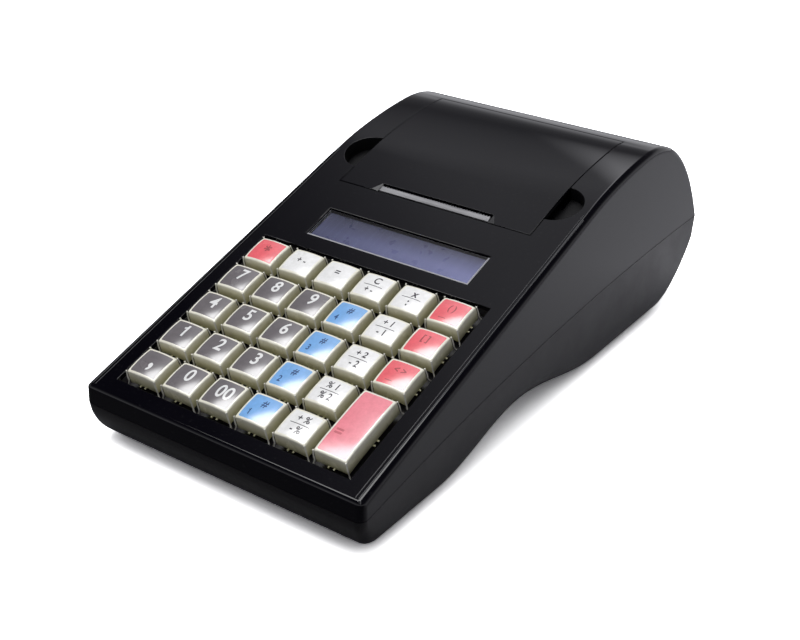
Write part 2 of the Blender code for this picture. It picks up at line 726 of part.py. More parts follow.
def roof_height(y):
    """Height of the outer surface at a place along the body."""
    line = cover_line()
    for (y0, z0), (y1, z1) in zip(line, line[1:]):
        if y0 <= y <= y1 and y1 > y0:
            return z0 + (z1 - z0) * (y - y0) / (y1 - y0)
    return ROOF_HEIGHT


HINGE_Y = LID_REAR_Y - HINGE_SETBACK
HINGE_Z = roof_height(HINGE_Y) - HINGE_DEPTH


def lid_region(name, spread):
    """The space of the lid through the roof, spread on all sides by a gap."""
    half = LID_WIDTH / 2 + spread
    low = deck_point(LID_FRONT_V - spread, -WALL * 3)
    high = deck_point(LID_FRONT_V - spread, WALL * 3)
    rear = LID_REAR_Y + spread
    top = ROOF_HEIGHT + WALL * 3
    rear_low = roof_height(rear) - WALL * 3
    middle = deck_point(DECK_LENGTH, -WALL * 3)
    outline = [low, high, (high[0], top), (rear, top), (rear, rear_low), middle]
    return solid_from_outline(name, outline, -half, half)


def notch(name, spread):
    """The notch at the lid's front edge where the paper leaves, with slanting ends."""
    half = NOTCH_WIDTH / 2 + spread
    shape = bmesh.new()
    bmesh.ops.create_cube(shape, size=1)
    front = LID_FRONT_V - OVERRUN
    rear = LID_FRONT_V + NOTCH_LENGTH + spread
    for vertex in shape.verts:
        back = vertex.co.y > 0
        vertex.co.x = math.copysign(half - (NOTCH_TAPER if back else 0), vertex.co.x)
        vertex.co.y = rear if back else front
        vertex.co.z = OVERRUN if vertex.co.z > 0 else -WALL * 2
    mesh = bpy.data.meshes.new(name)
    shape.to_mesh(mesh)
    shape.free()
    return on_deck(bpy.data.objects.new(name, mesh))


def shell_pair(prefix):
    """The outer and the inner form of the cover."""
    outer = body_form(prefix + "_outer", cover_line(), 0, True)
    inner = body_form(prefix + "_inner", cover_line(), WALL, True)
    return outer, inner


def build_lid():
    """The lid, cut from the same skin as the cover, with two hinge ears."""
    lid, inner = shell_pair("lid")
    lid.name = "printer_lid"
    place(lid, parts)
    boolean(lid, inner)
    boolean(lid, lid_region("lid_region", 0), "INTERSECT")
    boolean(lid, notch("lid_notch", 0))
    for side in (-1, 1):
        edge = LID_WIDTH / 2
        x = sorted((side * edge, side * (edge - EAR_WIDTH)))
        ear = box("ear", (x[0], HINGE_Y - EAR_HALF_DEPTH, HINGE_Z - EAR_HALF_DEPTH),
                  (x[1], HINGE_Y + EAR_HALF_DEPTH, roof_height(HINGE_Y) - WALL / 2))
        boolean(lid, ear, "UNION")
        x = sorted((side * (edge + OVERRUN), side * (edge - PIN_REACH - GAP)))
        boolean(lid, cylinder("ear_bore", PIN_RADIUS + GAP, x[0], x[1], HINGE_Y, HINGE_Z, 16))
    as_part(lid, "gloss_black")


def add_hinge_seats(cover):
    """Bosses beside the lid that hold its two pins."""
    for side in (-1, 1):
        edge = LID_WIDTH / 2 + LID_GAP
        x = sorted((side * edge, side * (edge + EAR_WIDTH)))
        seat = box("hinge_seat", (x[0], HINGE_Y - EAR_HALF_DEPTH, HINGE_Z - EAR_HALF_DEPTH),
                   (x[1], HINGE_Y + EAR_HALF_DEPTH, roof_height(HINGE_Y) - WALL / 2))
        boolean(cover, seat, "UNION")
        x = sorted((side * (edge - OVERRUN), side * (edge + PIN_REACH + GAP)))
        boolean(cover, cylinder("seat_bore", PIN_RADIUS + GAP, x[0], x[1], HINGE_Y, HINGE_Z, 16))


def build_pins():
    """Two hinge pins, each half in the lid's ear and half in the cover's boss."""
    for side, word in ((-1, "left"), (1, "right")):
        edge = LID_WIDTH / 2
        x = sorted((side * (edge - PIN_REACH), side * (edge + LID_GAP + PIN_REACH)))
        as_part(cylinder("lid_pin_" + word, PIN_RADIUS, x[0], x[1], HINGE_Y, HINGE_Z, 16), "steel")


def cut_scoops(cover):
    """Half-round thumb recesses on both sides of the lid, with their own floor."""
    for side in (-1, 1):
        x = side * LID_WIDTH / 2
        for name, radius, depth, operation in (
                ("scoop_cup", SCOOP_RADIUS + SCOOP_WALL, SCOOP_DEPTH + SCOOP_WALL, "UNION"),
                ("scoop", SCOOP_RADIUS, SCOOP_DEPTH, "DIFFERENCE")):
            top = -WALL / 2 if operation == "UNION" else OVERRUN
            tool = upright(name, radius, x, SCOOP_V, -depth, top, 28)
            boolean(cover, on_deck(tool), operation)


TEAR_FRONT_V = LID_FRONT_V + GAP * 2
TEAR_LOW_H = -TEAR_SINK - TEAR_THICKNESS


def add_tear_seat(cover):
    """The ledge under the lid's notch that carries the tear bar."""
    half = NOTCH_WIDTH / 2 - NOTCH_TAPER - GAP
    top = TEAR_LOW_H - GAP
    seat = deck_box("tear_seat", (-half, LID_FRONT_V - OVERRUN * 2, top - LEDGE_THICKNESS),
                    (half, TEAR_FRONT_V + TEAR_LENGTH, top))
    boolean(cover, seat, "UNION")


def build_tear_bar():
    half = TEAR_WIDTH / 2
    as_part(deck_box("tear_bar", (-half, TEAR_FRONT_V, TEAR_LOW_H),
                     (half, TEAR_FRONT_V + TEAR_LENGTH, -TEAR_SINK)), "steel")


# Casing

def build_cover():
    """The top cover: one moulded skin with the well, window, lid opening and scoops cut in it."""
    cover, inner = shell_pair("cover")
    cover.name = "top_cover"
    place(cover, parts)
    boolean(cover, inner)
    cut_display(cover)
    add_hinge_seats(cover)
    cut_scoops(cover)
    boolean(cover, lid_region("lid_opening", LID_GAP))
    add_tear_seat(cover)
    boolean(cover, deck_box("well", (-WELL_HALF_WIDTH, WELL_FRONT_V, -WALL * 3),
                            (WELL_HALF_WIDTH, WELL_REAR_V, OVERRUN)))
    for side in (-1, 1):
        x = sorted((side * (RIM_CENTRE - RIM_WIDTH / 2), side * (RIM_CENTRE + RIM_WIDTH / 2)))
        rim = deck_box("rim", (x[0], RIM_WIDTH, -WALL / 2), (x[1], DECK_LENGTH - RIM_REAR_MARGIN, RIM_HEIGHT))
        boolean(cover, rim, "UNION")
    as_part(cover, "gloss_black")


PORT_TOP_Z = MAIN_BOARD_Z + BOARD_THICKNESS + GAP
DOOR_LOW_Z = BAY_LOW_Z
DOOR_THICKNESS = WALL


def bay_box(name, inset, low, high):
    """The battery bay's plan, drawn in by an inset, between two heights."""
    return box(name, (-BAY_WIDTH / 2 + inset, BAY_FRONT_Y + inset, low),
               (BAY_WIDTH / 2 - inset, BAY_REAR_Y - inset, high))


def build_base():
    """The base shell: arched skin, battery bay, board posts, foot recesses and rear openings."""
    base = body_form("base_shell", base_line(), 0, False)
    place(base, parts)
    base.name = "base_shell"
    boolean(base, body_form("base_inner", base_line(), WALL, False))
    bay_top = ARCH_HEIGHT + WALL
    boolean(base, bay_box("bay_outer", 0, BAY_LOW_Z, bay_top), "UNION")
    boolean(base, bay_box("bay_inner", WALL, BAY_LOW_Z + WALL, bay_top + OVERRUN))
    boolean(base, bay_box("door_opening", DOOR_MARGIN, BAY_LOW_Z - OVERRUN * 2, BAY_LOW_Z + WALL * 2))
    for side in (-1, 1):
        for y in (MAIN_BOARD_FRONT_Y + POST_INSET, MAIN_BOARD_REAR_Y - POST_INSET * 3):
            x = side * (MAIN_BOARD_WIDTH / 2 - POST_INSET)
            boolean(base, upright("board_post", POST_RADIUS, x, y, BELLY_HEIGHT + WALL / 2,
                                  MAIN_BOARD_Z - GAP, 16), "UNION")
        for y in (FOOT_FRONT_Y, FOOT_REAR_Y):
            top = FOOT_HEIGHT + GAP
            boolean(base, upright("foot_recess", FOOT_RADIUS + GAP, side * FOOT_X, y, -OVERRUN, top))
    for name, x, width, height in (("jack_opening", JACK_X, JACK_WIDTH, JACK_HEIGHT),
                                   ("socket_opening", SOCKET_X, SOCKET_WIDTH, SOCKET_HEIGHT)):
        half = width / 2 + GAP
        boolean(base, box(name, (x - half, REAR_Y - WALL - OVERRUN, PORT_TOP_Z - GAP),
                          (x + half, REAR_Y + OVERRUN, PORT_TOP_Z + height + GAP)))
    top = parting_line(-GAP, BODY_WIDTH)
    above = ROOF_HEIGHT
    outline = top + [(REAR_Y + BODY_WIDTH, above), (FRONT_Y - BODY_WIDTH, above)]
    boolean(base, solid_from_outline("above_base", outline, -BODY_WIDTH, BODY_WIDTH))
    as_part(base, "satin_black")


def build_battery():
    """Battery pack on its door."""
    inset = DOOR_MARGIN + GAP
    door = bay_box("battery_door", inset, DOOR_LOW_Z, DOOR_LOW_Z + DOOR_THICKNESS)
    as_part(door, "satin_black")
    low = DOOR_LOW_Z + DOOR_THICKNESS + GAP
    pack = bay_box("battery_pack", WALL + BATTERY_MARGIN, low, low + BATTERY_HEIGHT)
    bevel = pack.modifiers.new("round", "BEVEL")
    bevel.width = BATTERY_ROUND
    bevel.segments = 3
    as_part(pack, "battery")


def build_feet():
    """Four turned rubber feet."""
    for side, side_word in ((-1, "left"), (1, "right")):
        for y, end_word in ((FOOT_FRONT_Y, "front"), (FOOT_REAR_Y, "rear")):
            name = f"foot_{end_word}_{side_word}"
            foot = upright(name, FOOT_RADIUS, side * FOOT_X, y, 0, FOOT_HEIGHT)
            as_part(foot, "rubber")


# Paper, its tub and the printer mechanism

def u_outline(radius, top):
    """A tub section: straight walls over a half-round floor."""
    points = [(TUB_Y - radius, top)]
    steps = 20
    for step in range(steps + 1):
        angle = math.pi + math.pi * step / steps
        points.append((TUB_Y + radius * math.cos(angle), TUB_Z + radius * math.sin(angle)))
    points.append((TUB_Y + radius, top))
    return points


TUB_HALF = PAPER_WIDTH / 2 + PAPER_SIDE_CLEARANCE
TUB_OUTER = TUB_RADIUS + TUB_WALL
ROLL_Z = TUB_Z - TUB_RADIUS + ROLL_RADIUS + GAP


def build_paper():
    """The tub, standing on legs, and the roll lying in it on its core."""
    tub = solid_from_outline("paper_tub", u_outline(TUB_OUTER, TUB_RIM_HEIGHT),
                             -TUB_HALF - TUB_WALL, TUB_HALF + TUB_WALL)
    parts.objects.link(tub)
    boolean(tub, solid_from_outline("tub_space", u_outline(TUB_RADIUS, TUB_RIM_HEIGHT + OVERRUN),
                                    -TUB_HALF, TUB_HALF))
    for side in (-1, 1):
        x = side * LEG_X
        leg = box("tub_leg", (x - LEG_WIDTH / 2, TUB_Y - LEG_LENGTH / 2, BELLY_HEIGHT + WALL + GAP),
                  (x + LEG_WIDTH / 2, TUB_Y + LEG_LENGTH / 2, TUB_Z - TUB_RADIUS - TUB_WALL / 2))
        boolean(tub, leg, "UNION")
    shelf_x = FRAME_INNER + FRAME_WALL
    shelf = box("tub_shelf", (-shelf_x, FRAME_FRONT_Y, FRAME_FLOOR_Z - GAP - TUB_WALL),
                (shelf_x, TUB_Y - SHELF_SETBACK, FRAME_FLOOR_Z - GAP))
    boolean(tub, shelf, "UNION")
    as_part(tub, "satin_black")
    half = PAPER_WIDTH / 2
    roll = cylinder("paper_roll", ROLL_RADIUS, -half, half, TUB_Y, ROLL_Z, 48)
    boolean(roll, cylinder("roll_bore", CORE_RADIUS + GAP, -half - OVERRUN, half + OVERRUN,
                           TUB_Y, ROLL_Z, 32))
    as_part(roll, "paper")
    core = cylinder("paper_core", CORE_RADIUS, -half, half, TUB_Y, ROLL_Z, 32)
    boolean(core, cylinder("core_bore", CORE_BORE, -half - OVERRUN, half + OVERRUN,
                           TUB_Y, ROLL_Z, 24))
    as_part(core, "card")


def pitch_radius(teeth):
    return teeth * GEAR_MODULE / 2


def gear_outline(teeth, turn):
    """Trapezoid teeth, thinned so that meshing flanks keep clear of each other."""
    tip = pitch_radius(teeth) + GEAR_MODULE * 0.8
    root = pitch_radius(teeth) - GEAR_MODULE * 1.25
    tip_share = 0.11
    root_share = 0.26
    points = []
    for tooth in range(teeth):
        for radius, share in ((root, -root_share), (tip, -tip_share), (tip, tip_share), (root, root_share)):
            angle = (tooth + share) * math.tau / teeth + turn
            points.append((radius * math.cos(angle), radius * math.sin(angle)))
    return points


def gear(name, teeth, y, z, turn, x_low, material):
    """A spur gear about an axle along X."""
    outline = [(y + a, z + b) for a, b in gear_outline(teeth, turn)]
    wheel = solid_from_outline(name, outline, x_low, x_low + GEAR_WIDTH)
    parts.objects.link(wheel)
    wheel.name = name
    return as_part(wheel, material)


def third_corner(a, b, from_a, from_b):
    """The point at given distances from two others, on the rear side."""
    gap = Vector((b[0] - a[0], b[1] - a[1]))
    along = (from_a ** 2 - from_b ** 2 + gap.length ** 2) / (2 * gap.length)
    aside = math.sqrt(from_a ** 2 - along ** 2)
    unit = gap.normalized()
    return (a[0] + unit.x * along + unit.y * aside, a[1] + unit.y * along - unit.x * aside)


GEAR_X = FRAME_INNER + FRAME_WALL + GEAR_OFFSET
IDLER_Y, IDLER_Z = third_corner(
    (MOTOR_Y, MOTOR_Z), (PLATEN_Y, PLATEN_Z),
    pitch_radius(PINION_TEETH) + pitch_radius(IDLER_TEETH),
    pitch_radius(PLATEN_TEETH) + pitch_radius(IDLER_TEETH))


def mesh_turn(own_teeth, other_teeth, own, other, other_turn):
    """The turn that puts a gap of one gear against a tooth of the other on their centre line."""
    toward = math.atan2(other[1] - own[1], other[0] - own[0])
    phase = (toward + math.pi - other_turn) * other_teeth / math.tau
    return toward - (0.5 - phase) * math.tau / own_teeth


def build_gears():
    """Motor pinion, idler and platen gear in one plane outside the frame's right wall."""
    idler = (IDLER_Y, IDLER_Z)
    motor = (MOTOR_Y, MOTOR_Z)
    platen = (PLATEN_Y, PLATEN_Z)
    pinion_turn = mesh_turn(PINION_TEETH, IDLER_TEETH, motor, idler, 0)
    platen_turn = mesh_turn(PLATEN_TEETH, IDLER_TEETH, platen, idler, 0)
    wheel = gear("idler_gear", IDLER_TEETH, IDLER_Y, IDLER_Z, 0, GEAR_X, "white_nylon")
    boolean(wheel, cylinder("idler_axle", AXLE_RADIUS, FRAME_INNER, GEAR_X + GEAR_WIDTH / 2,
                            IDLER_Y, IDLER_Z, 16), "UNION")
    pinion = gear("motor_pinion", PINION_TEETH, MOTOR_Y, MOTOR_Z, pinion_turn, GEAR_X, "steel")
    boolean(pinion, cylinder("motor_shaft", MOTOR_SHAFT_RADIUS,
                             FRAME_INNER - MOTOR_LENGTH / 2, GEAR_X + GEAR_WIDTH / 2,
                             MOTOR_Y, MOTOR_Z, 16), "UNION")
    wheel = gear("platen_gear", PLATEN_TEETH, PLATEN_Y, PLATEN_Z, platen_turn, GEAR_X, "white_nylon")
    boolean(wheel, cylinder("platen_gear_bore", PLATEN_SHAFT_RADIUS + GAP, GEAR_X - OVERRUN,
                            GEAR_X + GEAR_WIDTH + OVERRUN, PLATEN_Y, PLATEN_Z, 20))


def build_mechanism():
    """Frame, platen roller, thermal head and motor."""
    outer = FRAME_INNER + FRAME_WALL
    frame = box("printer_frame", (-outer, FRAME_FRONT_Y, FRAME_FLOOR_Z), (outer, FRAME_REAR_Y, FRAME_TOP_Z))
    boolean(frame, box("frame_space", (-FRAME_INNER, FRAME_FRONT_Y + FRAME_WALL, FRAME_FLOOR_Z + FRAME_WALL),
                       (FRAME_INNER, FRAME_REAR_Y + OVERRUN, FRAME_TOP_Z + OVERRUN)))
    boolean(frame, box("tub_room", (-FRAME_INNER, TUB_Y - TUB_OUTER - GAP * 3, FRAME_FLOOR_Z - OVERRUN),
                       (FRAME_INNER, FRAME_REAR_Y + OVERRUN, FRAME_TOP_Z + OVERRUN)))
    for name, radius, y, z in (("platen_hole", PLATEN_SHAFT_RADIUS, PLATEN_Y, PLATEN_Z),
                               ("motor_hole", MOTOR_SHAFT_RADIUS, MOTOR_Y, MOTOR_Z),
                               ("idler_hole", AXLE_RADIUS, IDLER_Y, IDLER_Z)):
        x_low = -outer - OVERRUN if name == "platen_hole" else 0
        boolean(frame, cylinder(name, radius + SHAFT_CLEARANCE, x_low, outer + OVERRUN, y, z, 20))
    as_part(frame, "steel")
    half = PAPER_WIDTH / 2
    platen = cylinder("platen_roller", PLATEN_RADIUS, -half, half, PLATEN_Y, PLATEN_Z, 32)
    boolean(platen, cylinder("platen_shaft", PLATEN_SHAFT_RADIUS, -outer - FRAME_WALL,
                             GEAR_X + GEAR_WIDTH + FRAME_WALL, PLATEN_Y, PLATEN_Z, 20), "UNION")
    as_part(platen, "rubber")
    front = FRAME_FRONT_Y + FRAME_WALL + GAP
    rear = PLATEN_Y - PLATEN_RADIUS - GAP
    as_part(box("thermal_head", (-half, front, HEAD_LOW_Z), (half, rear, FRAME_TOP_Z)), "aluminium")
    face = FRAME_INNER - GAP
    motor = cylinder("stepper_motor", MOTOR_RADIUS, face - MOTOR_LENGTH, face, MOTOR_Y, MOTOR_Z, 32)
    boolean(motor, cylinder("motor_bore", MOTOR_SHAFT_RADIUS + GAP, FRAME_INNER - MOTOR_LENGTH / 2 - GAP,
                            outer, MOTOR_Y, MOTOR_Z, 16))
    as_part(motor, "steel")


def build_electronics():
    """Main board with the power jack and the data socket at its rear edge."""
    half = MAIN_BOARD_WIDTH / 2
    as_part(box("main_board", (-half, MAIN_BOARD_FRONT_Y, MAIN_BOARD_Z),
                (half, MAIN_BOARD_REAR_Y, MAIN_BOARD_Z + BOARD_THICKNESS)), "board")
    mouth = REAR_Y - GAP
    jack = box("dc_jack", (JACK_X - JACK_WIDTH / 2, mouth - JACK_LENGTH, PORT_TOP_Z),
               (JACK_X + JACK_WIDTH / 2, mouth, PORT_TOP_Z + JACK_HEIGHT))
    bpy.ops.mesh.primitive_cylinder_add(
        vertices=20, radius=JACK_BORE, depth=JACK_LENGTH, rotation=(math.pi / 2, 0, 0),
        location=(JACK_X, mouth, PORT_TOP_Z + JACK_HEIGHT / 2))
    boolean(jack, bpy.context.object)
    as_part(jack, "satin_black")
    socket = box("data_socket", (SOCKET_X - SOCKET_WIDTH / 2, mouth - JACK_LENGTH, PORT_TOP_Z),
                 (SOCKET_X + SOCKET_WIDTH / 2, mouth, PORT_TOP_Z + SOCKET_HEIGHT))
    inside = SOCKET_MOUTH_WALL
    boolean(socket, box("socket_mouth",
                        (SOCKET_X - SOCKET_WIDTH / 2 + inside, mouth - SOCKET_MOUTH_DEPTH, PORT_TOP_Z + inside),
                        (SOCKET_X + SOCKET_WIDTH / 2 - inside, mouth + OVERRUN,
                         PORT_TOP_Z + SOCKET_HEIGHT - inside)))
    as_part(socket, "satin_black")


build_cover()
build_base()
build_lid()
build_pins()
build_keys()
build_keyboard()
build_display()
build_tear_bar()
build_paper()
build_mechanism()
build_gears()
build_electronics()
build_battery()
build_feet()
bpy.context.view_layer.update()
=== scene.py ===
"""Portable ticket register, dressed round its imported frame. Metres, +Z up, the keyboard faces -Y."""
import math

import bmesh
import bpy
from mathutils import Matrix, Vector


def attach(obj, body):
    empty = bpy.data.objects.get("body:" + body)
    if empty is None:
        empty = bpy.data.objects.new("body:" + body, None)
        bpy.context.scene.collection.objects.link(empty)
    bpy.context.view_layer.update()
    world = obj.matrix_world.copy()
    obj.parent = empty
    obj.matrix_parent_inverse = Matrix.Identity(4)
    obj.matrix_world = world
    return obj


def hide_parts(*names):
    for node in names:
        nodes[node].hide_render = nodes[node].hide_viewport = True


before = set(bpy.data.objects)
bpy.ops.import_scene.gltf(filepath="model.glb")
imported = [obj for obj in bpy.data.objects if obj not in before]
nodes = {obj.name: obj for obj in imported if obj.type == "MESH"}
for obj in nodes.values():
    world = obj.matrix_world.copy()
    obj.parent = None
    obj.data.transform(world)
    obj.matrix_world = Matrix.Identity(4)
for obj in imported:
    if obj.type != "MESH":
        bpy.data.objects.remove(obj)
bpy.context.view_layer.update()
MM = 0.001

# Body, as in the source of the frame
BODY_WIDTH = 140.0 * MM
BODY_LENGTH = 288.0 * MM
FRONT_Y = -BODY_LENGTH / 2
REAR_Y = BODY_LENGTH / 2
WALL = 2.2 * MM
SIDE_DRAFT = 0.03
TOP_EDGE_RADIUS = 3.0 * MM
CORNER_RADIUS = 3.2 * MM
BELLY_EDGE_RADIUS = 8.0 * MM
BELLY_HEIGHT = 1.5 * MM
GAP = 0.3 * MM
SPARE = 2.0 * MM
PARTING_FRONT = 18.5 * MM
PARTING_REAR = 44.6 * MM
PARTING_BEND = 2.1
DECK_TILT = math.radians(18.7)
NOSE_STEP = 0.7 * MM
DECK_Y = FRONT_Y + NOSE_STEP
DECK_Z = 27.1 * MM
DECK_LENGTH = 177.6 * MM
APEX = (83.7 * MM, 94.4 * MM)
ARCH_Y = -31.0 * MM
ARCH_HEIGHT = 13.2 * MM
ARCH_FRONT_REACH = 60 * MM
ARCH_REAR_REACH = 76 * MM
ROLL_AXIS = (56 * MM, 56.8 * MM)
PAPER_LAYER = 0.8 * MM

DECK = Matrix.Translation((0, DECK_Y, DECK_Z)) @ Matrix.Rotation(DECK_TILT, 4, "X")


# Working helpers

def to_piece(name, shape):
    """Makes a finished bmesh a named object and lets the bmesh go."""
    mesh = bpy.data.meshes.new(name)
    shape.to_mesh(mesh)
    shape.free()
    piece = bpy.data.objects.new(name, mesh)
    bpy.context.scene.collection.objects.link(piece)
    return piece


def prism(outline, low, high):
    """A flat (y, z) outline drawn out along X."""
    shape = bmesh.new()
    rim = [shape.verts.new((low, y, z)) for y, z in outline]
    face = shape.faces.new(rim)
    grown = bmesh.ops.extrude_face_region(shape, geom=[face])["geom"]
    far = [item for item in grown if isinstance(item, bmesh.types.BMVert)]
    bmesh.ops.translate(shape, verts=far, vec=(high - low, 0, 0))
    bmesh.ops.recalc_face_normals(shape, faces=shape.faces)
    return shape


def soften(shape, edges, radius, segments=2):
    """Rounds edges of a bmesh."""
    bmesh.ops.bevel(shape, geom=edges, offset=radius, segments=segments, profile=0.5,
                    affect="EDGES", material=-1)
    return shape


def block(low, high, radius=0.0, segments=2):
    """A box between two corners, its edges rounded by a radius."""
    low = Vector(low)
    high = Vector(high)
    shape = bmesh.new()
    bmesh.ops.create_cube(shape, size=1)
    bmesh.ops.scale(shape, vec=high - low, verts=shape.verts)
    bmesh.ops.translate(shape, vec=(high + low) / 2, verts=shape.verts)
    if radius:
        soften(shape, shape.edges, radius, segments)
    return shape


def rod(radius, depth, sides=32):
    """A round bar along Z, standing on its origin."""
    shape = bmesh.new()
    bmesh.ops.create_cone(shape, cap_ends=True, segments=sides, radius1=radius, radius2=radius,
                          depth=depth, matrix=Matrix.Translation((0, 0, depth / 2)))
    return shape


def moved(shape, matrix):
    bmesh.ops.transform(shape, matrix=matrix, verts=shape.verts)
    return shape


def joined(*shapes):
    """Several bmeshes as one."""
    whole = bmesh.new()
    for shape in shapes:
        mesh = bpy.data.meshes.new("step")
        shape.to_mesh(mesh)
        shape.free()
        whole.from_mesh(mesh)
        bpy.data.meshes.remove(mesh)
    return whole


def cut(target, shape, operation="DIFFERENCE"):
    """Cuts a bmesh out of a piece, or joins it to the piece."""
    tool = to_piece("tool", shape)
    step = target.modifiers.new("cut", "BOOLEAN")
    step.operation = operation
    step.solver = "EXACT"
    step.object = tool
    return target


def settled(target):
    """Turns a piece's modifiers into its mesh and removes the tools they used."""
    tools = [step.object for step in target.modifiers if step.type == "BOOLEAN"]
    bpy.context.view_layer.update()
    seen = target.evaluated_get(bpy.context.evaluated_depsgraph_get())
    mesh = bpy.data.meshes.new_from_object(seen)
    target.modifiers.clear()
    target.data = mesh
    for tool in tools:
        bpy.data.objects.remove(tool, do_unlink=True)
    return target


def shade(target, degrees=35, weighted=True):
    """Smooth shading that keeps sharp edges sharp and flat faces flat."""
    target.data.shade_smooth()
    target.data.set_sharp_from_angle(angle=math.radians(degrees))
    if weighted:
        even = target.modifiers.new("even_shading", "WEIGHTED_NORMAL")
        even.keep_sharp = True
        even.weight = 80
    return target


def dress(target, *finishes):
    if target.data.materials:
        target.data.materials.clear()
    for finish in finishes:
        target.data.materials.append(finish)
    return target


def install(target, body, slot, *replaced):
    """Puts a piece on its body, in the place of CAD nodes; the slot is not used."""
    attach(target, body)
    if replaced:
        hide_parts(*replaced)
    return target


def fit_casing(target, finish, slot, *replaced):
    """Shades and dresses a piece and puts it on the casing."""
    shade(target)
    dress(target, finish)
    return install(target, "casing", slot, *replaced)


# Finishes

def add(tree, kind, **settings):
    """A node with settings, or starting values of its sockets."""
    node = tree.nodes.new("ShaderNode" + kind)
    for key, value in settings.items():
        name = key.replace("_", " ")
        if name in node.inputs:
            node.inputs[name].default_value = value
        else:
            setattr(node, key, value)
    return node


def new_finish(name, colour, roughness, metallic=0.0, ior=1.5):
    """A material with plain constants, ready for its patterns."""
    finish = bpy.data.materials.new(name)
    finish.use_nodes = True
    finish.diffuse_color = (*colour, 1)
    shader = finish.node_tree.nodes["Principled BSDF"]
    shader.inputs["Base Color"].default_value = (*colour, 1)
    shader.inputs["Roughness"].default_value = roughness
    shader.inputs["Metallic"].default_value = metallic
    shader.inputs["IOR"].default_value = ior
    return finish, finish.node_tree, shader


def noise(tree, scale, detail=3.0, roughness=0.5, stretch=None, kind="TexNoise"):
    """Noise over the object, in cycles per metre."""
    place = add(tree, "TexCoord").outputs["Object"]
    if stretch:
        mapping = add(tree, "Mapping")
        mapping.inputs["Scale"].default_value = stretch
        tree.links.new(place, mapping.inputs["Vector"])
        place = mapping.outputs["Vector"]
    pattern = add(tree, kind, Scale=scale)
    if kind == "TexNoise":
        pattern.inputs["Detail"].default_value = detail
        pattern.inputs["Roughness"].default_value = roughness
    tree.links.new(place, pattern.inputs["Vector"])
    return pattern.outputs[0]


def spread(tree, source, low, high, start=0.3, stop=0.7):
    """A pattern's middle range stretched to new limits."""
    span = add(tree, "MapRange")
    for key, value in zip(("From Min", "From Max", "To Min", "To Max"), (start, stop, low, high)):
        span.inputs[key].default_value = value
    tree.links.new(source, span.inputs["Value"])
    return span.outputs["Result"]


def blend(tree, share, first, second):
    """Two colours, or colour outputs, mixed by a share."""
    mix = add(tree, "Mix", data_type="RGBA")
    tree.links.new(share, mix.inputs["Factor"])
    for key, colour in ((6, first), (7, second)):
        if isinstance(colour, tuple):
            mix.inputs[key].default_value = (*colour, 1)
        else:
            tree.links.new(colour, mix.inputs[key])
    return mix.outputs[2]


def raise_bumps(tree, shader, source, height, previous=None):
    """Relief of a height in metres, on top of an earlier one if given."""
    bump = add(tree, "Bump", Strength=1.0, Distance=height)
    tree.links.new(source, bump.inputs["Height"])
    if previous:
        tree.links.new(previous, bump.inputs["Normal"])
    tree.links.new(bump.outputs["Normal"], shader.inputs["Normal"])
    return bump.outputs["Normal"]


def moulded(name, colour, roughness, grain, height, gloss=0.5, dust=0.0):
    """Moulded plastic: faint flow marks, a roughness that wanders, fine grain and a trace of dust."""
    finish, tree, shader = new_finish(name, colour, roughness)
    shader.inputs["Specular IOR Level"].default_value = gloss
    clouds = noise(tree, 28, 4)
    fine = noise(tree, 1900, 2)
    tone = blend(tree, spread(tree, clouds, 0, 1), tuple(c * 0.9 for c in colour),
                 tuple(min(c * 1.1 + 0.0003, 1) for c in colour))
    if dust:
        specks = spread(tree, noise(tree, 900, 1), 0, dust, 0.66, 0.78)
        tone = blend(tree, specks, tone, (0.32, 0.32, 0.33))
    tree.links.new(tone, shader.inputs["Base Color"])
    worn = spread(tree, noise(tree, 60, 5, 0.6), roughness * 0.9, roughness * 1.12)
    tree.links.new(worn, shader.inputs["Roughness"])
    first = raise_bumps(tree, shader, noise(tree, grain, 2), height)
    raise_bumps(tree, shader, fine, height * 0.3, first)
    return finish


def metal(name, colour, roughness, stretch=(1, 1, 1)):
    """Sheet metal with drawn lines along one axis and faint stains."""
    finish, tree, shader = new_finish(name, colour, roughness, metallic=1.0)
    lines = noise(tree, 900, 4, 0.7, stretch)
    stains = noise(tree, 60, 4)
    tone = blend(tree, spread(tree, stains, 0, 1), tuple(c * 0.8 for c in colour), colour)
    tree.links.new(tone, shader.inputs["Base Color"])
    tree.links.new(spread(tree, lines, roughness * 0.7, roughness * 1.4), shader.inputs["Roughness"])
    raise_bumps(tree, shader, lines, 0.00002)
    return finish


cover_gloss = moulded("cover_gloss", (0.0018, 0.0016, 0.0034), 0.075, 1400, 0.0000008, 0.36, 0.02)
base_satin = moulded("base_satin", (0.0055, 0.0052, 0.0064), 0.36, 2600, 0.000005, 0.5)
inner_black = moulded("inner_black", (0.014, 0.013, 0.015), 0.5, 2000, 0.00001)
socket_black = moulded("socket_black", (0.016, 0.016, 0.017), 0.35, 2200, 0.00001)
rubber = moulded("rubber", (0.018, 0.018, 0.018), 0.8, 1500, 0.00002)
mat_silicone = moulded("mat_silicone", (0.045, 0.045, 0.047), 0.6, 1500, 0.00002)
scoop_matt = moulded("scoop_matt", (0.003, 0.003, 0.004), 0.55, 2600, 0.000005, 0.2)
# Lighter than the cover: a painted highlight on the deck's edge lines.
bead_painted_highlight = moulded("bead_painted_highlight", (0.020, 0.020, 0.023), 0.4, 2600, 0.000005, 0.5)
cheek_grey = moulded("cheek_grey", (0.026, 0.026, 0.028), 0.45, 2600, 0.000005, 0.5)
tear_steel = metal("tear_steel", (0.22, 0.22, 0.23), 0.5, (0.05, 1, 1))
zinc_steel = metal("zinc_steel", (0.5, 0.5, 0.51), 0.35, (0.2, 1, 1))
head_aluminium = metal("head_aluminium", (0.7, 0.7, 0.71), 0.35, (0.2, 1, 1))
gear_nylon = moulded("gear_nylon", (0.80, 0.79, 0.74), 0.38, 1500, 0.000008)


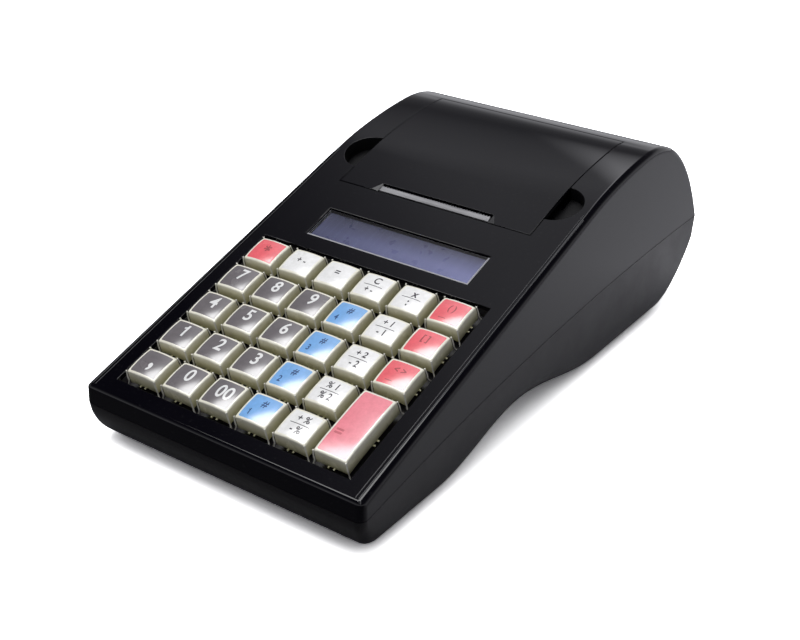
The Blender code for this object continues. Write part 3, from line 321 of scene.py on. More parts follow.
def board_finish():
    """Green board: copper lines under the lacquer, on a grid."""
    finish, tree, shader = new_finish("board_green", (0.03, 0.2, 0.08), 0.4)
    tracks = add(tree, "TexBrick", Scale=160.0)
    tracks.inputs["Mortar Size"].default_value = 0.03
    tree.links.new(add(tree, "TexCoord").outputs["Object"], tracks.inputs["Vector"])
    for key, colour in (("Color1", (0.02, 0.17, 0.06, 1)), ("Color2", (0.025, 0.2, 0.075, 1)),
                        ("Mortar", (0.08, 0.33, 0.12, 1))):
        tracks.inputs[key].default_value = colour
    tree.links.new(tracks.outputs["Color"], shader.inputs["Base Color"])
    tree.links.new(spread(tree, noise(tree, 300), 0.3, 0.5), shader.inputs["Roughness"])
    raise_bumps(tree, shader, tracks.outputs["Fac"], 0.00003)
    return finish


def paper_finish(name, colour, along):
    """Paper or card with fibres."""
    finish, tree, shader = new_finish(name, colour, 0.75)
    fibres = noise(tree, 1500, 5, 0.7, along)
    tone = blend(tree, spread(tree, fibres, 0, 1), tuple(c * 0.93 for c in colour), colour)
    tree.links.new(tone, shader.inputs["Base Color"])
    tree.links.new(spread(tree, fibres, 0.65, 0.85), shader.inputs["Roughness"])
    raise_bumps(tree, shader, fibres, 0.00002)
    return finish


def sleeve_finish():
    """Shrink sleeve with slight ripples."""
    finish, tree, shader = new_finish("battery_sleeve", (0.05, 0.14, 0.33), 0.3)
    waves = noise(tree, 120, 3, 0.5, (1, 0.3, 1))
    tone = blend(tree, spread(tree, waves, 0, 1), (0.04, 0.12, 0.29), (0.06, 0.16, 0.37))
    tree.links.new(tone, shader.inputs["Base Color"])
    tree.links.new(spread(tree, waves, 0.25, 0.4), shader.inputs["Roughness"])
    raise_bumps(tree, shader, waves, 0.0001)
    return finish


board_green = board_finish()
core_card = paper_finish("core_card", (0.45, 0.33, 0.22), (0.3, 1, 1))
battery_sleeve = sleeve_finish()
contact_gold = metal("contact_gold", (0.72, 0.52, 0.22), 0.3, (1, 0.2, 1))


def roll_finish():
    """Wound paper: the layers show as fine rings on the ends of the roll."""
    finish, tree, shader = new_finish("paper_wound", (0.88, 0.88, 0.86), 0.75)
    place = add(tree, "Mapping")
    place.inputs["Location"].default_value = (0, -ROLL_AXIS[0], -ROLL_AXIS[1])
    place.inputs["Scale"].default_value = (0, 1, 1)
    tree.links.new(add(tree, "TexCoord").outputs["Object"], place.inputs["Vector"])
    reach = add(tree, "VectorMath", operation="LENGTH")
    tree.links.new(place.outputs["Vector"], reach.inputs[0])
    turns = add(tree, "Math", operation="MULTIPLY")
    turns.inputs[1].default_value = 2 * math.pi / PAPER_LAYER
    tree.links.new(reach.outputs["Value"], turns.inputs[0])
    rings = add(tree, "Math", operation="SINE")
    tree.links.new(turns.outputs[0], rings.inputs[0])
    share = spread(tree, rings.outputs[0], 0, 1, -1, 1)
    layers = blend(tree, share, (0.74, 0.74, 0.72), (0.90, 0.90, 0.88))
    fibres = noise(tree, 1500, 5, 0.7)
    tone = blend(tree, spread(tree, fibres, 0, 0.3), layers, (0.80, 0.80, 0.77))
    tree.links.new(tone, shader.inputs["Base Color"])
    tree.links.new(spread(tree, fibres, 0.65, 0.85), shader.inputs["Roughness"])
    raise_bumps(tree, shader, fibres, 0.00002)
    return finish


# Side lines of the body, as (y, z) points

def bezier(start, start_handle, end_handle, end, count):
    """Points along a cubic curve."""
    points = []
    for step in range(count + 1):
        t = step / count
        weights = ((1 - t) ** 3, 3 * t * (1 - t) ** 2, 3 * t * t * (1 - t), t ** 3)
        corners = (start, start_handle, end_handle, end)
        points.append(tuple(sum(w * c[axis] for w, c in zip(weights, corners)) for axis in (0, 1)))
    return points


def offset_line(points, distance):
    """The line moved to its left by a distance, corner by corner."""
    shifted = []
    for index, (y, z) in enumerate(points):
        before = points[max(index - 1, 0)]
        after = points[min(index + 1, len(points) - 1)]
        into = Vector((y - before[0], z - before[1]))
        out = Vector((after[0] - y, after[1] - z))
        into = into.normalized() if into.length else out.normalized()
        out = out.normalized() if out.length else into
        normal = Vector((-(into.y + out.y), into.x + out.x)).normalized()
        stretch = 1 / max(math.sqrt((1 + into.dot(out)) / 2), 0.5)
        shifted.append((y + normal.x * distance * stretch, z + normal.y * distance * stretch))
    return shifted


def parting(y):
    """Height of the line between cover and base."""
    share = min(max((y - FRONT_Y) / BODY_LENGTH, 0), 1)
    return PARTING_REAR - (PARTING_REAR - PARTING_FRONT) * (1 - share) ** PARTING_BEND


def deck_point(v, h=0):
    """The (y, z) place of a point given up the deck and out of it."""
    return (DECK_Y + v * math.cos(DECK_TILT) - h * math.sin(DECK_TILT),
            DECK_Z + v * math.sin(DECK_TILT) + h * math.cos(DECK_TILT))


def cover_line():
    """Side line of the cover, from the front parting over the roof to the rear parting."""
    corner = deck_point(-NOSE_STEP / math.cos(DECK_TILT))
    front = bezier(deck_point(DECK_LENGTH), deck_point(DECK_LENGTH + 19.5 * MM),
                   (APEX[0] - 11.6 * MM, APEX[1]), APEX, 16)
    lean = math.radians(25)
    rear = bezier(APEX, (APEX[0] + 35 * MM, APEX[1]),
                  (REAR_Y - 20 * MM * math.sin(lean), PARTING_REAR + 20 * MM * math.cos(lean)),
                  (REAR_Y, PARTING_REAR), 24)
    return [(FRONT_Y, PARTING_FRONT), corner] + front + rear[1:]


def belly(y):
    """Height of the underside over its arch."""
    reach = ARCH_FRONT_REACH if y < ARCH_Y else ARCH_REAR_REACH
    share = min(abs(y - ARCH_Y) / reach, 1)
    return BELLY_HEIGHT + (ARCH_HEIGHT - BELLY_HEIGHT) * math.cos(math.pi / 2 * share) ** 2


def base_line():
    """Side line of the base, from the rear parting under the belly to the front parting."""
    tail = bezier((REAR_Y, 33 * MM), (REAR_Y, 24 * MM), (REAR_Y - 19 * MM, BELLY_HEIGHT),
                  (REAR_Y - 34 * MM, BELLY_HEIGHT), 16)
    span = ARCH_FRONT_REACH + ARCH_REAR_REACH
    places = [ARCH_Y + ARCH_REAR_REACH - span * step / 32 for step in range(33)]
    arch = [(y, belly(y)) for y in places]
    nose_y = FRONT_Y + 13 * MM
    nose = bezier((nose_y, BELLY_HEIGHT), (nose_y - 6.5 * MM, BELLY_HEIGHT),
                  (FRONT_Y, (BELLY_HEIGHT + PARTING_FRONT) / 2), (FRONT_Y, PARTING_FRONT), 12)
    return [(REAR_Y, PARTING_REAR)] + tail + arch + nose


def parting_line(rise, reach, count=28):
    points = [(FRONT_Y - reach, parting(FRONT_Y) + rise)] if reach else []
    points += [(FRONT_Y + BODY_LENGTH * step / count, parting(FRONT_Y + BODY_LENGTH * step / count) + rise)
               for step in range(count + 1)]
    return points + ([(REAR_Y + reach, parting(REAR_Y) + rise)] if reach else [])


def half_width(y, z, inset):
    """Half the width of the body, which narrows away from the parting."""
    level = PARTING_FRONT + (PARTING_REAR - PARTING_FRONT) * (y - FRONT_Y) / BODY_LENGTH
    return BODY_WIDTH / 2 - inset - SIDE_DRAFT * abs(z - level)


def body_form(name, line, inset, upper):
    """The closed form of the cover's or the base's half, moved inwards by an inset."""
    line = offset_line(line, -inset)
    nose = line[1]
    sink = SPARE * (-6 if upper else 6)
    if inset:
        line = [(line[0][0], line[0][1] + sink)] + line + [(line[-1][0], line[-1][1] + sink)]
        outline = line
    else:
        middle = parting_line(0, 0)
        outline = line + (middle[-2:0:-1] if upper else middle[1:-1])
    kept = [outline[0]]
    for point in outline[1:]:
        if math.dist(point, kept[-1]) > 0.01 * MM:
            kept.append(point)
    form = to_piece(name, prism(kept, -BODY_WIDTH / 2, BODY_WIDTH / 2))
    rim = line[1:-1] if inset else line
    weights = form.data.attributes.new("bevel_weight_edge", "FLOAT", "EDGE")

    def lies_on(point, corners):
        return any(math.dist((point.y, point.z), corner) < 0.03 * MM for corner in corners)

    for edge in form.data.edges:
        a, b = (form.data.vertices[i].co for i in edge.vertices)
        if a.x * b.x < 0:
            if upper and lies_on(a, [nose]):
                weights.data[edge.index].value = max(1.6 * MM - inset, GAP * 2) / BELLY_EDGE_RADIUS
            continue
        if lies_on(a, rim) and lies_on(b, rim):
            level_radius = TOP_EDGE_RADIUS if upper else BELLY_EDGE_RADIUS
            radius = level_radius + (CORNER_RADIUS - level_radius) * (b - a).normalized().z ** 2
            weights.data[edge.index].value = max(radius - inset, GAP * 2) / BELLY_EDGE_RADIUS
    for vertex in form.data.vertices:
        vertex.co.x = math.copysign(half_width(vertex.co.y, vertex.co.z, inset), vertex.co.x)
    bevel = form.modifiers.new("edges", "BEVEL")
    bevel.limit_method = "WEIGHT"
    bevel.width = BELLY_EDGE_RADIUS
    bevel.segments = 8 if not inset else 3
    bevel.use_clamp_overlap = False
    return form


def hollow_body(name, line, upper):
    """A wall-thick skin with the outer form of the cover or the base."""
    skin = body_form(name, line, 0, upper)
    inner = settled(body_form("inner", line, WALL, upper))
    shape = bmesh.new()
    shape.from_mesh(inner.data)
    bpy.data.objects.remove(inner, do_unlink=True)
    return cut(skin, shape)


def deck_block(low, high, radius=0.0, segments=2):
    """A box given across, up and out of the deck."""
    return moved(block(low, high, radius, segments), DECK)


def roof_height(y):
    """Height of the cover's outside above a place."""
    line = cover_line()
    for (y0, z0), (y1, z1) in zip(line, line[1:]):
        if y0 <= y <= y1 and y1 > y0:
            return z0 + (z1 - z0) * (y - y0) / (y1 - y0)
    return APEX[1]


def round_rims(target, radius, segments=2):
    """Softens the sharp rims that were cut through the deck, the roof and the lid."""
    shape = bmesh.new()
    shape.from_mesh(target.data)
    bmesh.ops.remove_doubles(shape, verts=shape.verts, dist=0.001 * MM)
    up_deck = DECK.inverted()

    def on_top(point):
        if abs(point.x) > BODY_WIDTH / 2 - TOP_EDGE_RADIUS - 1.5 * MM:
            return False
        if point.y < DECK_Y + DECK_LENGTH * math.cos(DECK_TILT):
            return abs((up_deck @ point).z) < 0.01 * MM
        return abs(point.z - roof_height(point.y)) < 0.02 * MM

    rims = [edge for edge in shape.edges if len(edge.link_faces) == 2
            and edge.calc_face_angle(0) > math.radians(50) and all(on_top(v.co) for v in edge.verts)]
    bmesh.ops.bevel(shape, geom=rims, offset=radius, segments=segments, profile=0.5, affect="EDGES",
                    clamp_overlap=True, material=-1)
    shape.to_mesh(target.data)
    shape.free()
    return target


# Places on the deck and the lid

WELL_HALF = 58.625 * MM
WELL_FRONT = 7.35 * MM
WELL_REAR = 106.05 * MM
WINDOW_V = 124.1 * MM
WINDOW_HALF = 42.4 * MM
WINDOW_REACH = 9.6 * MM
WINDOW_SEAT = 2.2 * MM
WINDOW_LEDGE = 0.8 * MM
BOSS_MARGIN = 2.4 * MM
BOSS_DEPTH = 5.2 * MM
LID_HALF = 50.3 * MM
LID_FRONT = 152.6 * MM
LID_REAR_Y = 86.2 * MM
LID_GAP = 0.45 * MM
NOTCH_HALF = 33 * MM
NOTCH_TAPER = 4 * MM
NOTCH_LENGTH = 5.6 * MM
HINGE = (78.2 * MM, 91.58 * MM)
HINGE_BLOCK = 3.4 * MM
HINGE_BLOCK_LENGTH = 7 * MM
PIN_RADIUS = 1.5 * MM
PIN_REACH = 5.8 * MM
SCOOP_V = 176.3 * MM
SCOOP_RADIUS = 12.0 * MM
SCOOP_DEPTH = 7.0 * MM
SCOOP_WALL = 1.6 * MM
SCOOP_RIM = 0.3 * MM
TEAR_FRONT = 153.2 * MM
TEAR_REAR = 156.1 * MM
TEAR_HALF = 28.85 * MM
SHELF_HALF = 28.7 * MM
SHELF_REACH = 4 * MM
SHELF_TOP = -1.8 * MM
SHELF_LOW = -3.8 * MM
COVER_RIM = 0.25 * MM
LID_RIM = 0.15 * MM

# Fine raised lines beside the deck's long edges: place across, and end up the deck
BEADS = ((65.3 * MM, 173.0 * MM), (66.7 * MM, 170.0 * MM))
BEAD_FRONT = 1.2 * MM
BEAD_HALF = 0.22 * MM
BEAD_TOP = 0.2 * MM

# Places in the base
FLOOR_MIDDLE = BELLY_HEIGHT + WALL / 2
BAY_HALF = 52 * MM
BAY_FRONT = -98 * MM
BAY_REAR = -33.5 * MM
BAY_LOW = 3.4 * MM
DOORWAY_HALF = 45 * MM
DOORWAY_FRONT = -91 * MM
DOORWAY_REAR = -40.5 * MM
BOARD_TOP = 30.6 * MM
POST_X = 51 * MM
POST_RADIUS = 3 * MM
POST_TOP = 28.7 * MM
POSTS = ((92 * MM, FLOOR_MIDDLE), (122 * MM, 8.2 * MM))
FOOT_X = 54 * MM
FOOT_YS = (-117 * MM, 93 * MM)
FOOT_RADIUS = 6.0 * MM
FOOT_RECESS = 2.7 * MM
SCREWS = tuple((x * MM, y * MM) for x in (-36, 36) for y in (60, 104))
SCREW_POST_RADIUS = 5 * MM
SCREW_POST_LENGTH = 6 * MM
SCREW_WELL_RADIUS = 3.3 * MM
SCREW_SEAT = 4.6 * MM
SOCKETS = ((-44 * MM, 9 * MM, 11 * MM), (-22 * MM, 13 * MM, 11.5 * MM))


def lid_region(spread_by):
    """The space of the lid through the roof."""
    half = LID_HALF + spread_by
    rear = LID_REAR_Y + spread_by
    high = deck_point(LID_FRONT - spread_by, WALL * 3)
    top = APEX[1] + WALL * 3
    outline = [deck_point(LID_FRONT - spread_by, -WALL * 3), high, (high[0], top), (rear, top),
               (rear, roof_height(rear) - WALL * 3), deck_point(DECK_LENGTH, -WALL * 3)]
    return prism(outline, -half, half)


def lid_notch():
    """The space of the paper slot in the lid's front edge, narrower at the back."""
    shape = block((-1, -1, -1), (1, 1, 1))
    for vertex in shape.verts:
        back = vertex.co.y > 0
        half = NOTCH_HALF - (NOTCH_TAPER if back else 0)
        vertex.co.x = math.copysign(half, vertex.co.x)
        vertex.co.y = LID_FRONT + (NOTCH_LENGTH if back else -SPARE)
        vertex.co.z = SPARE if vertex.co.z > 0 else -WALL * 2
    return moved(shape, DECK)


def along_x(radius, x_low, x_high, y, z, sides=32):
    return moved(rod(radius, x_high - x_low, sides),
                 Matrix.Translation((x_low, y, z)) @ Matrix.Rotation(math.pi / 2, 4, "Y"))


def add_hinge_block(target, side, edge, way):
    """A block beside the lid's edge that holds one pin, with the pin's bore."""
    low, high = sorted((side * edge, side * (edge + way * HINGE_BLOCK_LENGTH)))
    cut(target, block((low, HINGE[0] - HINGE_BLOCK, HINGE[1] - HINGE_BLOCK),
                      (high, HINGE[0] + HINGE_BLOCK, roof_height(HINGE[0]) - WALL / 2)), "UNION")
    low, high = sorted((side * (LID_HALF - way * SPARE), side * (edge + way * PIN_REACH)))
    cut(target, along_x(PIN_RADIUS, low, high, *HINGE))


def window_block(margin, low, high):
    """A block in line with the window, wider by a margin all round."""
    half = WINDOW_HALF + margin
    reach = WINDOW_REACH + margin
    return deck_block((-half, WINDOW_V - reach, low), (half, WINDOW_V + reach, high))


def paint_scoops(cover):
    """The scoops are matt inside; the rest of the cover has its first finish."""
    up_deck = DECK.inverted()
    touch = 0.1 * MM
    for face in cover.data.polygons:
        place = up_deck @ face.center
        inside = math.dist((abs(place.x), place.y), (LID_HALF, SCOOP_V)) < SCOOP_RADIUS + touch
        below = -SCOOP_DEPTH - touch < place.z < -SCOOP_RIM
        face.material_index = 1 if inside and below else 0


def make_cover():
    """The moulded top cover."""
    cover = hollow_body("cover_skin", cover_line(), True)
    cut(cover, window_block(BOSS_MARGIN, -BOSS_DEPTH, -WALL / 2), "UNION")
    for side in (-1, 1):
        cup_wall = rod(SCOOP_RADIUS + SCOOP_WALL, SCOOP_DEPTH + SCOOP_WALL - WALL / 2, 64)
        cup = rod(SCOOP_RADIUS, SCOOP_DEPTH + SPARE, 64)
        for shape, depth, operation in ((cup_wall, SCOOP_DEPTH + SCOOP_WALL, "UNION"),
                                        (cup, SCOOP_DEPTH, "DIFFERENCE")):
            place = DECK @ Matrix.Translation((side * LID_HALF, SCOOP_V, -depth))
            cut(cover, moved(shape, place), operation)
        add_hinge_block(cover, side, LID_HALF + LID_GAP, 1)
    cut(cover, window_block(0, -WINDOW_SEAT, SPARE))
    cut(cover, window_block(-WINDOW_LEDGE, -BOSS_DEPTH - SPARE, SPARE))
    cut(cover, lid_region(LID_GAP))
    cut(cover, deck_block((-SHELF_HALF, LID_FRONT - SHELF_REACH, SHELF_LOW),
                          (SHELF_HALF, TEAR_REAR, SHELF_TOP)), "UNION")
    cut(cover, deck_block((-WELL_HALF, WELL_FRONT, -WALL * 3), (WELL_HALF, WELL_REAR, SPARE)))
    settled(cover)
    round_rims(cover, COVER_RIM)
    shade(cover)
    dress(cover, cover_gloss, scoop_matt)
    paint_scoops(cover)
    install(cover, "casing", "cover_gloss_black", "top_cover")


def make_beads():
    """Two fine raised lines beside each long edge of the deck, coloured lighter than the cover as a painted
    highlight.
    """
    for side, word in ((-1, "left"), (1, "right")):
        lines = [deck_block((side * place - BEAD_HALF, BEAD_FRONT, -BEAD_TOP * 3),
                            (side * place + BEAD_HALF, end, BEAD_TOP), 0.12 * MM, 3)
                 for place, end in BEADS]
        fit_casing(to_piece("deck_bead_" + word, joined(*lines)), bead_painted_highlight, "cover_gloss_black")


def make_lid():
    """The printer lid, cut from the same skin, with its hinge ears."""
    lid = hollow_body("lid_skin", cover_line(), True)
    cut(lid, lid_region(0), "INTERSECT")
    cut(lid, lid_notch())
    for side in (-1, 1):
        add_hinge_block(lid, side, LID_HALF, -1)
    settled(lid)
    round_rims(lid, LID_RIM)
    shade(lid)
    dress(lid, cover_gloss)
    install(lid, "lid", "cover_gloss_black", "printer_lid")


def make_base():
    """The base shell: battery bay, board posts, foot recesses, screw wells and rear openings."""
    base = hollow_body("base_skin", base_line(), False)
    bay_top = ARCH_HEIGHT + WALL
    cut(base, block((-BAY_HALF, BAY_FRONT, BAY_LOW), (BAY_HALF, BAY_REAR, bay_top)), "UNION")
    cut(base, block((-BAY_HALF + WALL, BAY_FRONT + WALL, BAY_LOW + WALL),
                    (BAY_HALF - WALL, BAY_REAR - WALL, bay_top + SPARE)))
    cut(base, block((-DOORWAY_HALF, DOORWAY_FRONT, BAY_LOW - SPARE * 2),
                    (DOORWAY_HALF, DOORWAY_REAR, BAY_LOW + WALL * 2)))
    for side in (-1, 1):
        for y, low in POSTS:
            post = rod(POST_RADIUS, POST_TOP - low, 24)
            cut(base, moved(post, Matrix.Translation((side * POST_X, y, low))), "UNION")
        for y in FOOT_YS:
            recess = rod(FOOT_RADIUS + GAP, FOOT_RECESS + SPARE, 40)
            cut(base, moved(recess, Matrix.Translation((side * FOOT_X, y, -SPARE))))
    for x, y in SCREWS:
        post = rod(SCREW_POST_RADIUS, SCREW_POST_LENGTH, 32)
        cut(base, moved(post, Matrix.Translation((x, y, FLOOR_MIDDLE))), "UNION")
        well = rod(SCREW_WELL_RADIUS, SCREW_POST_LENGTH, 40)
        cut(base, moved(well, Matrix.Translation((x, y, SCREW_SEAT - SCREW_POST_LENGTH))))
    for x, width, height in SOCKETS:
        half = width / 2 + GAP
        cut(base, block((x - half, REAR_Y - WALL - SPARE, BOARD_TOP),
                        (x + half, REAR_Y + SPARE, BOARD_TOP + height + GAP * 2)))
    outline = parting_line(-GAP, BODY_WIDTH)
    outline += [(REAR_Y + BODY_WIDTH, APEX[1]), (FRONT_Y - BODY_WIDTH, APEX[1])]
    cut(base, prism(outline, -BODY_WIDTH, BODY_WIDTH))
    fit_casing(settled(base), base_satin, "base_satin_black", "base_shell")


make_cover()
make_beads()
make_lid()
make_base()

# Keys: a cream cap with a coloured label under its clear crown, corner legs and a stem

KEY_PITCH = 19.05 * MM
KEY_FRONT_V = 17.9 * MM
KEY_TOP_H = 4.3 * MM
KEY_HALF = 7.5 * MM
KEY_HALF_LENGTH = 7.25 * MM
LABEL_INSET = 1.05 * MM
CROWN = 0.68 * MM
LONG_CROWN_SHARE = 0.27
LONG_CROWN_REACH = 9.5 * MM
LEG_TOP = -0.95 * MM
LEG_LENGTH = 7.8 * MM
TAB_TOP = -6.65 * MM
TAB_LOW = -7.25 * MM
SKIRT_DEPTH = 7.2 * MM
INK = 0.03 * MM

# Rings of a cap from the label outwards: how far each one reaches out and drops, in mm
CAP_RINGS = ((0.42, 0.05), (0.22, 0.06), (0.20, 0.14), (0.14, 0.24), (0.07, 0.30),
             (0.08, 2.4), (0.10, 3.3))

KEY_ROWS = (
    ("red", "white", "white", "white", "white", "red"),
    ("grey", "grey", "grey", "blue", "white", "red"),
    ("grey", "grey", "grey", "blue", "white", "red"),
    ("grey", "grey", "grey", "blue", "white", "total"),
    ("grey", "grey", "grey", "blue", "white", None),
)
NUMBER_NAMES = ("7", "8", "9", "4", "5", "6", "1", "2", "3", "comma", "0", "00")

# Signs on the keys: text, height and place from the middle, in mm
DIVIDER = ("line", 9.0, 0.0, 0.0)
UNDERLINE = ("line", 3.4, -1.6, -4.2)


def split_sign(upper, lower, height=3.4):
    return ((upper, height, 0.0, 2.8), DIVIDER, (lower, height, 0.0, -2.8))


SIGNS = {
    "comma": ((",", 10.5, 0.6, 2.4),), "00": (("00", 6.6, 0.8, 0.2),),
    "white_1": (("+ -", 3.6, 0.0, 0.6),), "white_2": (("=", 4.0, 0.2, 0.6),),
    "white_3": (("C", 4.0, 0.4, 3.0), DIVIDER, ("+ -", 3.2, -0.4, -2.8)),
    "white_4": (("x", 4.2, 0.6, 2.6), DIVIDER, (":", 4.2, 0.0, -2.6)),
    "white_5": split_sign("+ 1", "- 1"), "white_6": split_sign("+ 2", "- 2"),
    "white_7": split_sign("% 1", "% 2"), "white_8": split_sign("+ %", "- %"),
    "red_1": (("*", 6.4, 0.0, -0.6),), "red_2": (("( )", 3.4, 0.0, 1.6), UNDERLINE),
    "red_3": (("[ ]", 3.4, -0.6, 1.8),), "red_4": (("< >", 3.4, 0.0, 1.6), UNDERLINE),
    "total": (("=", 5.6, -3.4, -6.0),),
}
for count in (1, 2, 3, 4):
    SIGNS[f"blue_{count}"] = (("#", 3.6, 0.6, 2.4), (str(5 - count), 3.0, -3.2, -3.0))


def crown(x, y, half_length):
    """Height of a cap's top below its highest point; a long cap is flatter, and curved at its ends."""
    side = 1.0
    reach = KEY_HALF_LENGTH
    if half_length > KEY_HALF:
        side = LONG_CROWN_SHARE
        reach = LONG_CROWN_REACH
    end = max(abs(y) - (half_length - reach), 0)
    return -CROWN * (side * (x / KEY_HALF) ** 2 + (end / reach) ** 2)


def label_finish(name, colour, coat=1.95):
    """Printed label seen through a clear crown: print grain under a polished coat."""
    finish, tree, shader = new_finish(name, colour, 0.22)
    print_grain = noise(tree, 420, 5, 0.65)
    tone = blend(tree, spread(tree, print_grain, 0, 1), tuple(c * 0.9 for c in colour),
                 tuple(min(c * 1.07, 1) for c in colour))
    tree.links.new(tone, shader.inputs["Base Color"])
    tree.links.new(spread(tree, noise(tree, 110, 4), 0.16, 0.28), shader.inputs["Roughness"])
    shader.inputs["Coat Weight"].default_value = 1.0
    shader.inputs["Coat IOR"].default_value = coat
    shader.inputs["Coat Roughness"].default_value = 0.2
    raise_bumps(tree, shader, noise(tree, 500, 2), 0.000002)
    return finish


def cap_finish():
    """Clear moulding over a cream and olive body; its colour is painted paler at its upper edge, a painted
    highlight of the clear rim, and darker olive at its foot, partly its colour and partly painted shade.
    """
    finish, tree, shader = new_finish("cap_cream", (0.45, 0.41, 0.27), 0.25)
    depth = add(tree, "Attribute", attribute_name="depth", attribute_type="GEOMETRY").outputs["Fac"]
    # Down the cap's depth: a painted highlight at the upper edge, then the cap's cream and olive, with
    # painted shade towards the foot.
    ramp = add(tree, "ValToRGB")
    stops = ramp.color_ramp.elements
    stops[0].color = (0.90, 0.88, 0.80, 1)
    stops[1].color = (0.46, 0.44, 0.24, 1)
    for place, colour in ((0.12, (0.90, 0.88, 0.76)), (0.55, (0.76, 0.73, 0.52))):
        stops.new(place).color = (*colour, 1)
    tree.links.new(depth, ramp.inputs["Fac"])
    clouds = spread(tree, noise(tree, 260, 4), 0, 0.18)
    tone = blend(tree, clouds, ramp.outputs["Color"], (0.36, 0.34, 0.20))
    tree.links.new(tone, shader.inputs["Base Color"])
    tree.links.new(spread(tree, noise(tree, 150, 4), 0.18, 0.32), shader.inputs["Roughness"])
    shader.inputs["Coat Weight"].default_value = 0.8
    shader.inputs["Coat IOR"].default_value = 1.55
    shader.inputs["Coat Roughness"].default_value = 0.08
    raise_bumps(tree, shader, noise(tree, 900, 2), 0.000003)
    return finish


cap_cream = cap_finish()
# Pale all over: a painted highlight standing in for the bright edges of the clear legs.
leg_pale_painted_highlight = moulded("leg_pale_painted_highlight", (0.74, 0.73, 0.66), 0.2, 900, 0.000003, 0.7)
LABELS = {
    "grey": label_finish("label_grey", (0.165, 0.150, 0.160)),
    "white": label_finish("label_white", (0.95, 0.95, 0.94)),
    "red": label_finish("label_red", (0.96, 0.15, 0.18)),
    "total": label_finish("label_total", (0.97, 0.26, 0.32)),
    "blue": label_finish("label_blue", (0.21, 0.47, 0.88)),
}
INKS = {
    "grey": label_finish("ink_white", (0.88, 0.88, 0.88)),
    "white": label_finish("ink_dark", (0.05, 0.045, 0.055), 1.25),
    "red": label_finish("ink_red", (0.42, 0.09, 0.10), 1.35),
    "total": label_finish("ink_total", (0.62, 0.15, 0.18), 1.35),
    "blue": label_finish("ink_blue", (0.05, 0.10, 0.24), 1.25),
}


def add_ring(shape, from_x, from_y, to_x, to_y, drop):
    """Draws the open rim of a cap outwards, keeping a rectangle's shape, and down."""
    edges = [edge for edge in shape.edges if edge.is_boundary]
    grown = bmesh.ops.extrude_edge_only(shape, edges=edges)["geom"]
    for item in grown:
        if isinstance(item, bmesh.types.BMVert):
            item.co.x *= to_x / from_x
            item.co.y *= to_y / from_y
            item.co.z -= drop


def cap_shape(half_length):
    """Crowned label, pale rim, rolled edge and upright skirt, open below."""
    inner_x = KEY_HALF - LABEL_INSET
    inner_y = half_length - LABEL_INSET
    shape = bmesh.new()
    rows = 12 if half_length < KEY_HALF else 26
    bmesh.ops.create_grid(shape, x_segments=12, y_segments=rows, size=1)
    for vertex in shape.verts:
        vertex.co.x *= inner_x
        vertex.co.y *= inner_y
        vertex.co.z = crown(vertex.co.x, vertex.co.y, half_length)
    half_x = inner_x
    half_y = inner_y
    for grow, drop in CAP_RINGS:
        add_ring(shape, half_x, half_y, half_x + grow * MM, half_y + grow * MM, drop * MM)
        half_x += grow * MM
        half_y += grow * MM
    for face in shape.faces:
        outside = max(max(abs(v.co.x) - inner_x, abs(v.co.y) - inner_y) for v in face.verts)
        face.material_index = 1 if outside > 0.1 * MM else 0
    corners = [edge for edge in shape.edges
               if all(abs(abs(v.co.x) - abs(v.co.y) - (KEY_HALF - half_length)) < 0.01 * MM
                      and abs(v.co.x) > inner_x - 0.01 * MM for v in edge.verts)
               and abs(edge.verts[0].co.z - edge.verts[1].co.z) > 0.02 * MM]
    soften(shape, corners, 0.45 * MM, 3)
    rim = [edge for edge in shape.edges if edge.is_boundary]
    bmesh.ops.extrude_edge_only(shape, edges=rim)
    bmesh.ops.recalc_face_normals(shape, faces=shape.faces)
    if sum(face.normal.z for face in shape.faces) < 0:
        bmesh.ops.reverse_faces(shape, faces=shape.faces)
    return shape


def corner_leg(side_x, side_y, half_length):
    """A thin clear leg beside a corner, close to the skirt, with its foot turned out."""
    shape = bmesh.new()
    bmesh.ops.create_cube(shape, size=1)
    upright_edges = [edge for edge in shape.edges
                     if abs(edge.verts[0].co.z - edge.verts[1].co.z) > 0.5]
    bmesh.ops.subdivide_edges(shape, edges=upright_edges, cuts=10, use_grid_fill=True)
    along = Vector((side_x, side_y, 0)).normalized()
    across = Vector((-along.y, along.x, 0))
    for vertex in shape.verts:
        share = 0.5 - vertex.co.z
        bow = 0.34 * math.sin(min(share / 0.5, 1) * math.pi / 2)
        foot = 0.74 * max(share - 0.7, 0) / 0.3
        out = (0.02 + bow + foot) * MM
        place = Vector((side_x * (KEY_HALF + out), side_y * (half_length + out),
                        LEG_TOP - LEG_LENGTH * share))
        vertex.co = place + across * 0.52 * MM * vertex.co.x + along * 0.46 * MM * vertex.co.y
    soften(shape, [edge for edge in shape.edges if edge.calc_face_angle(0) > 0.8], 0.07 * MM)
    bmesh.ops.recalc_face_normals(shape, faces=shape.faces)
    for face in shape.faces:
        # The legs' pale finish is a painted highlight of their clear edges.
        face.material_index = 3
    return shape


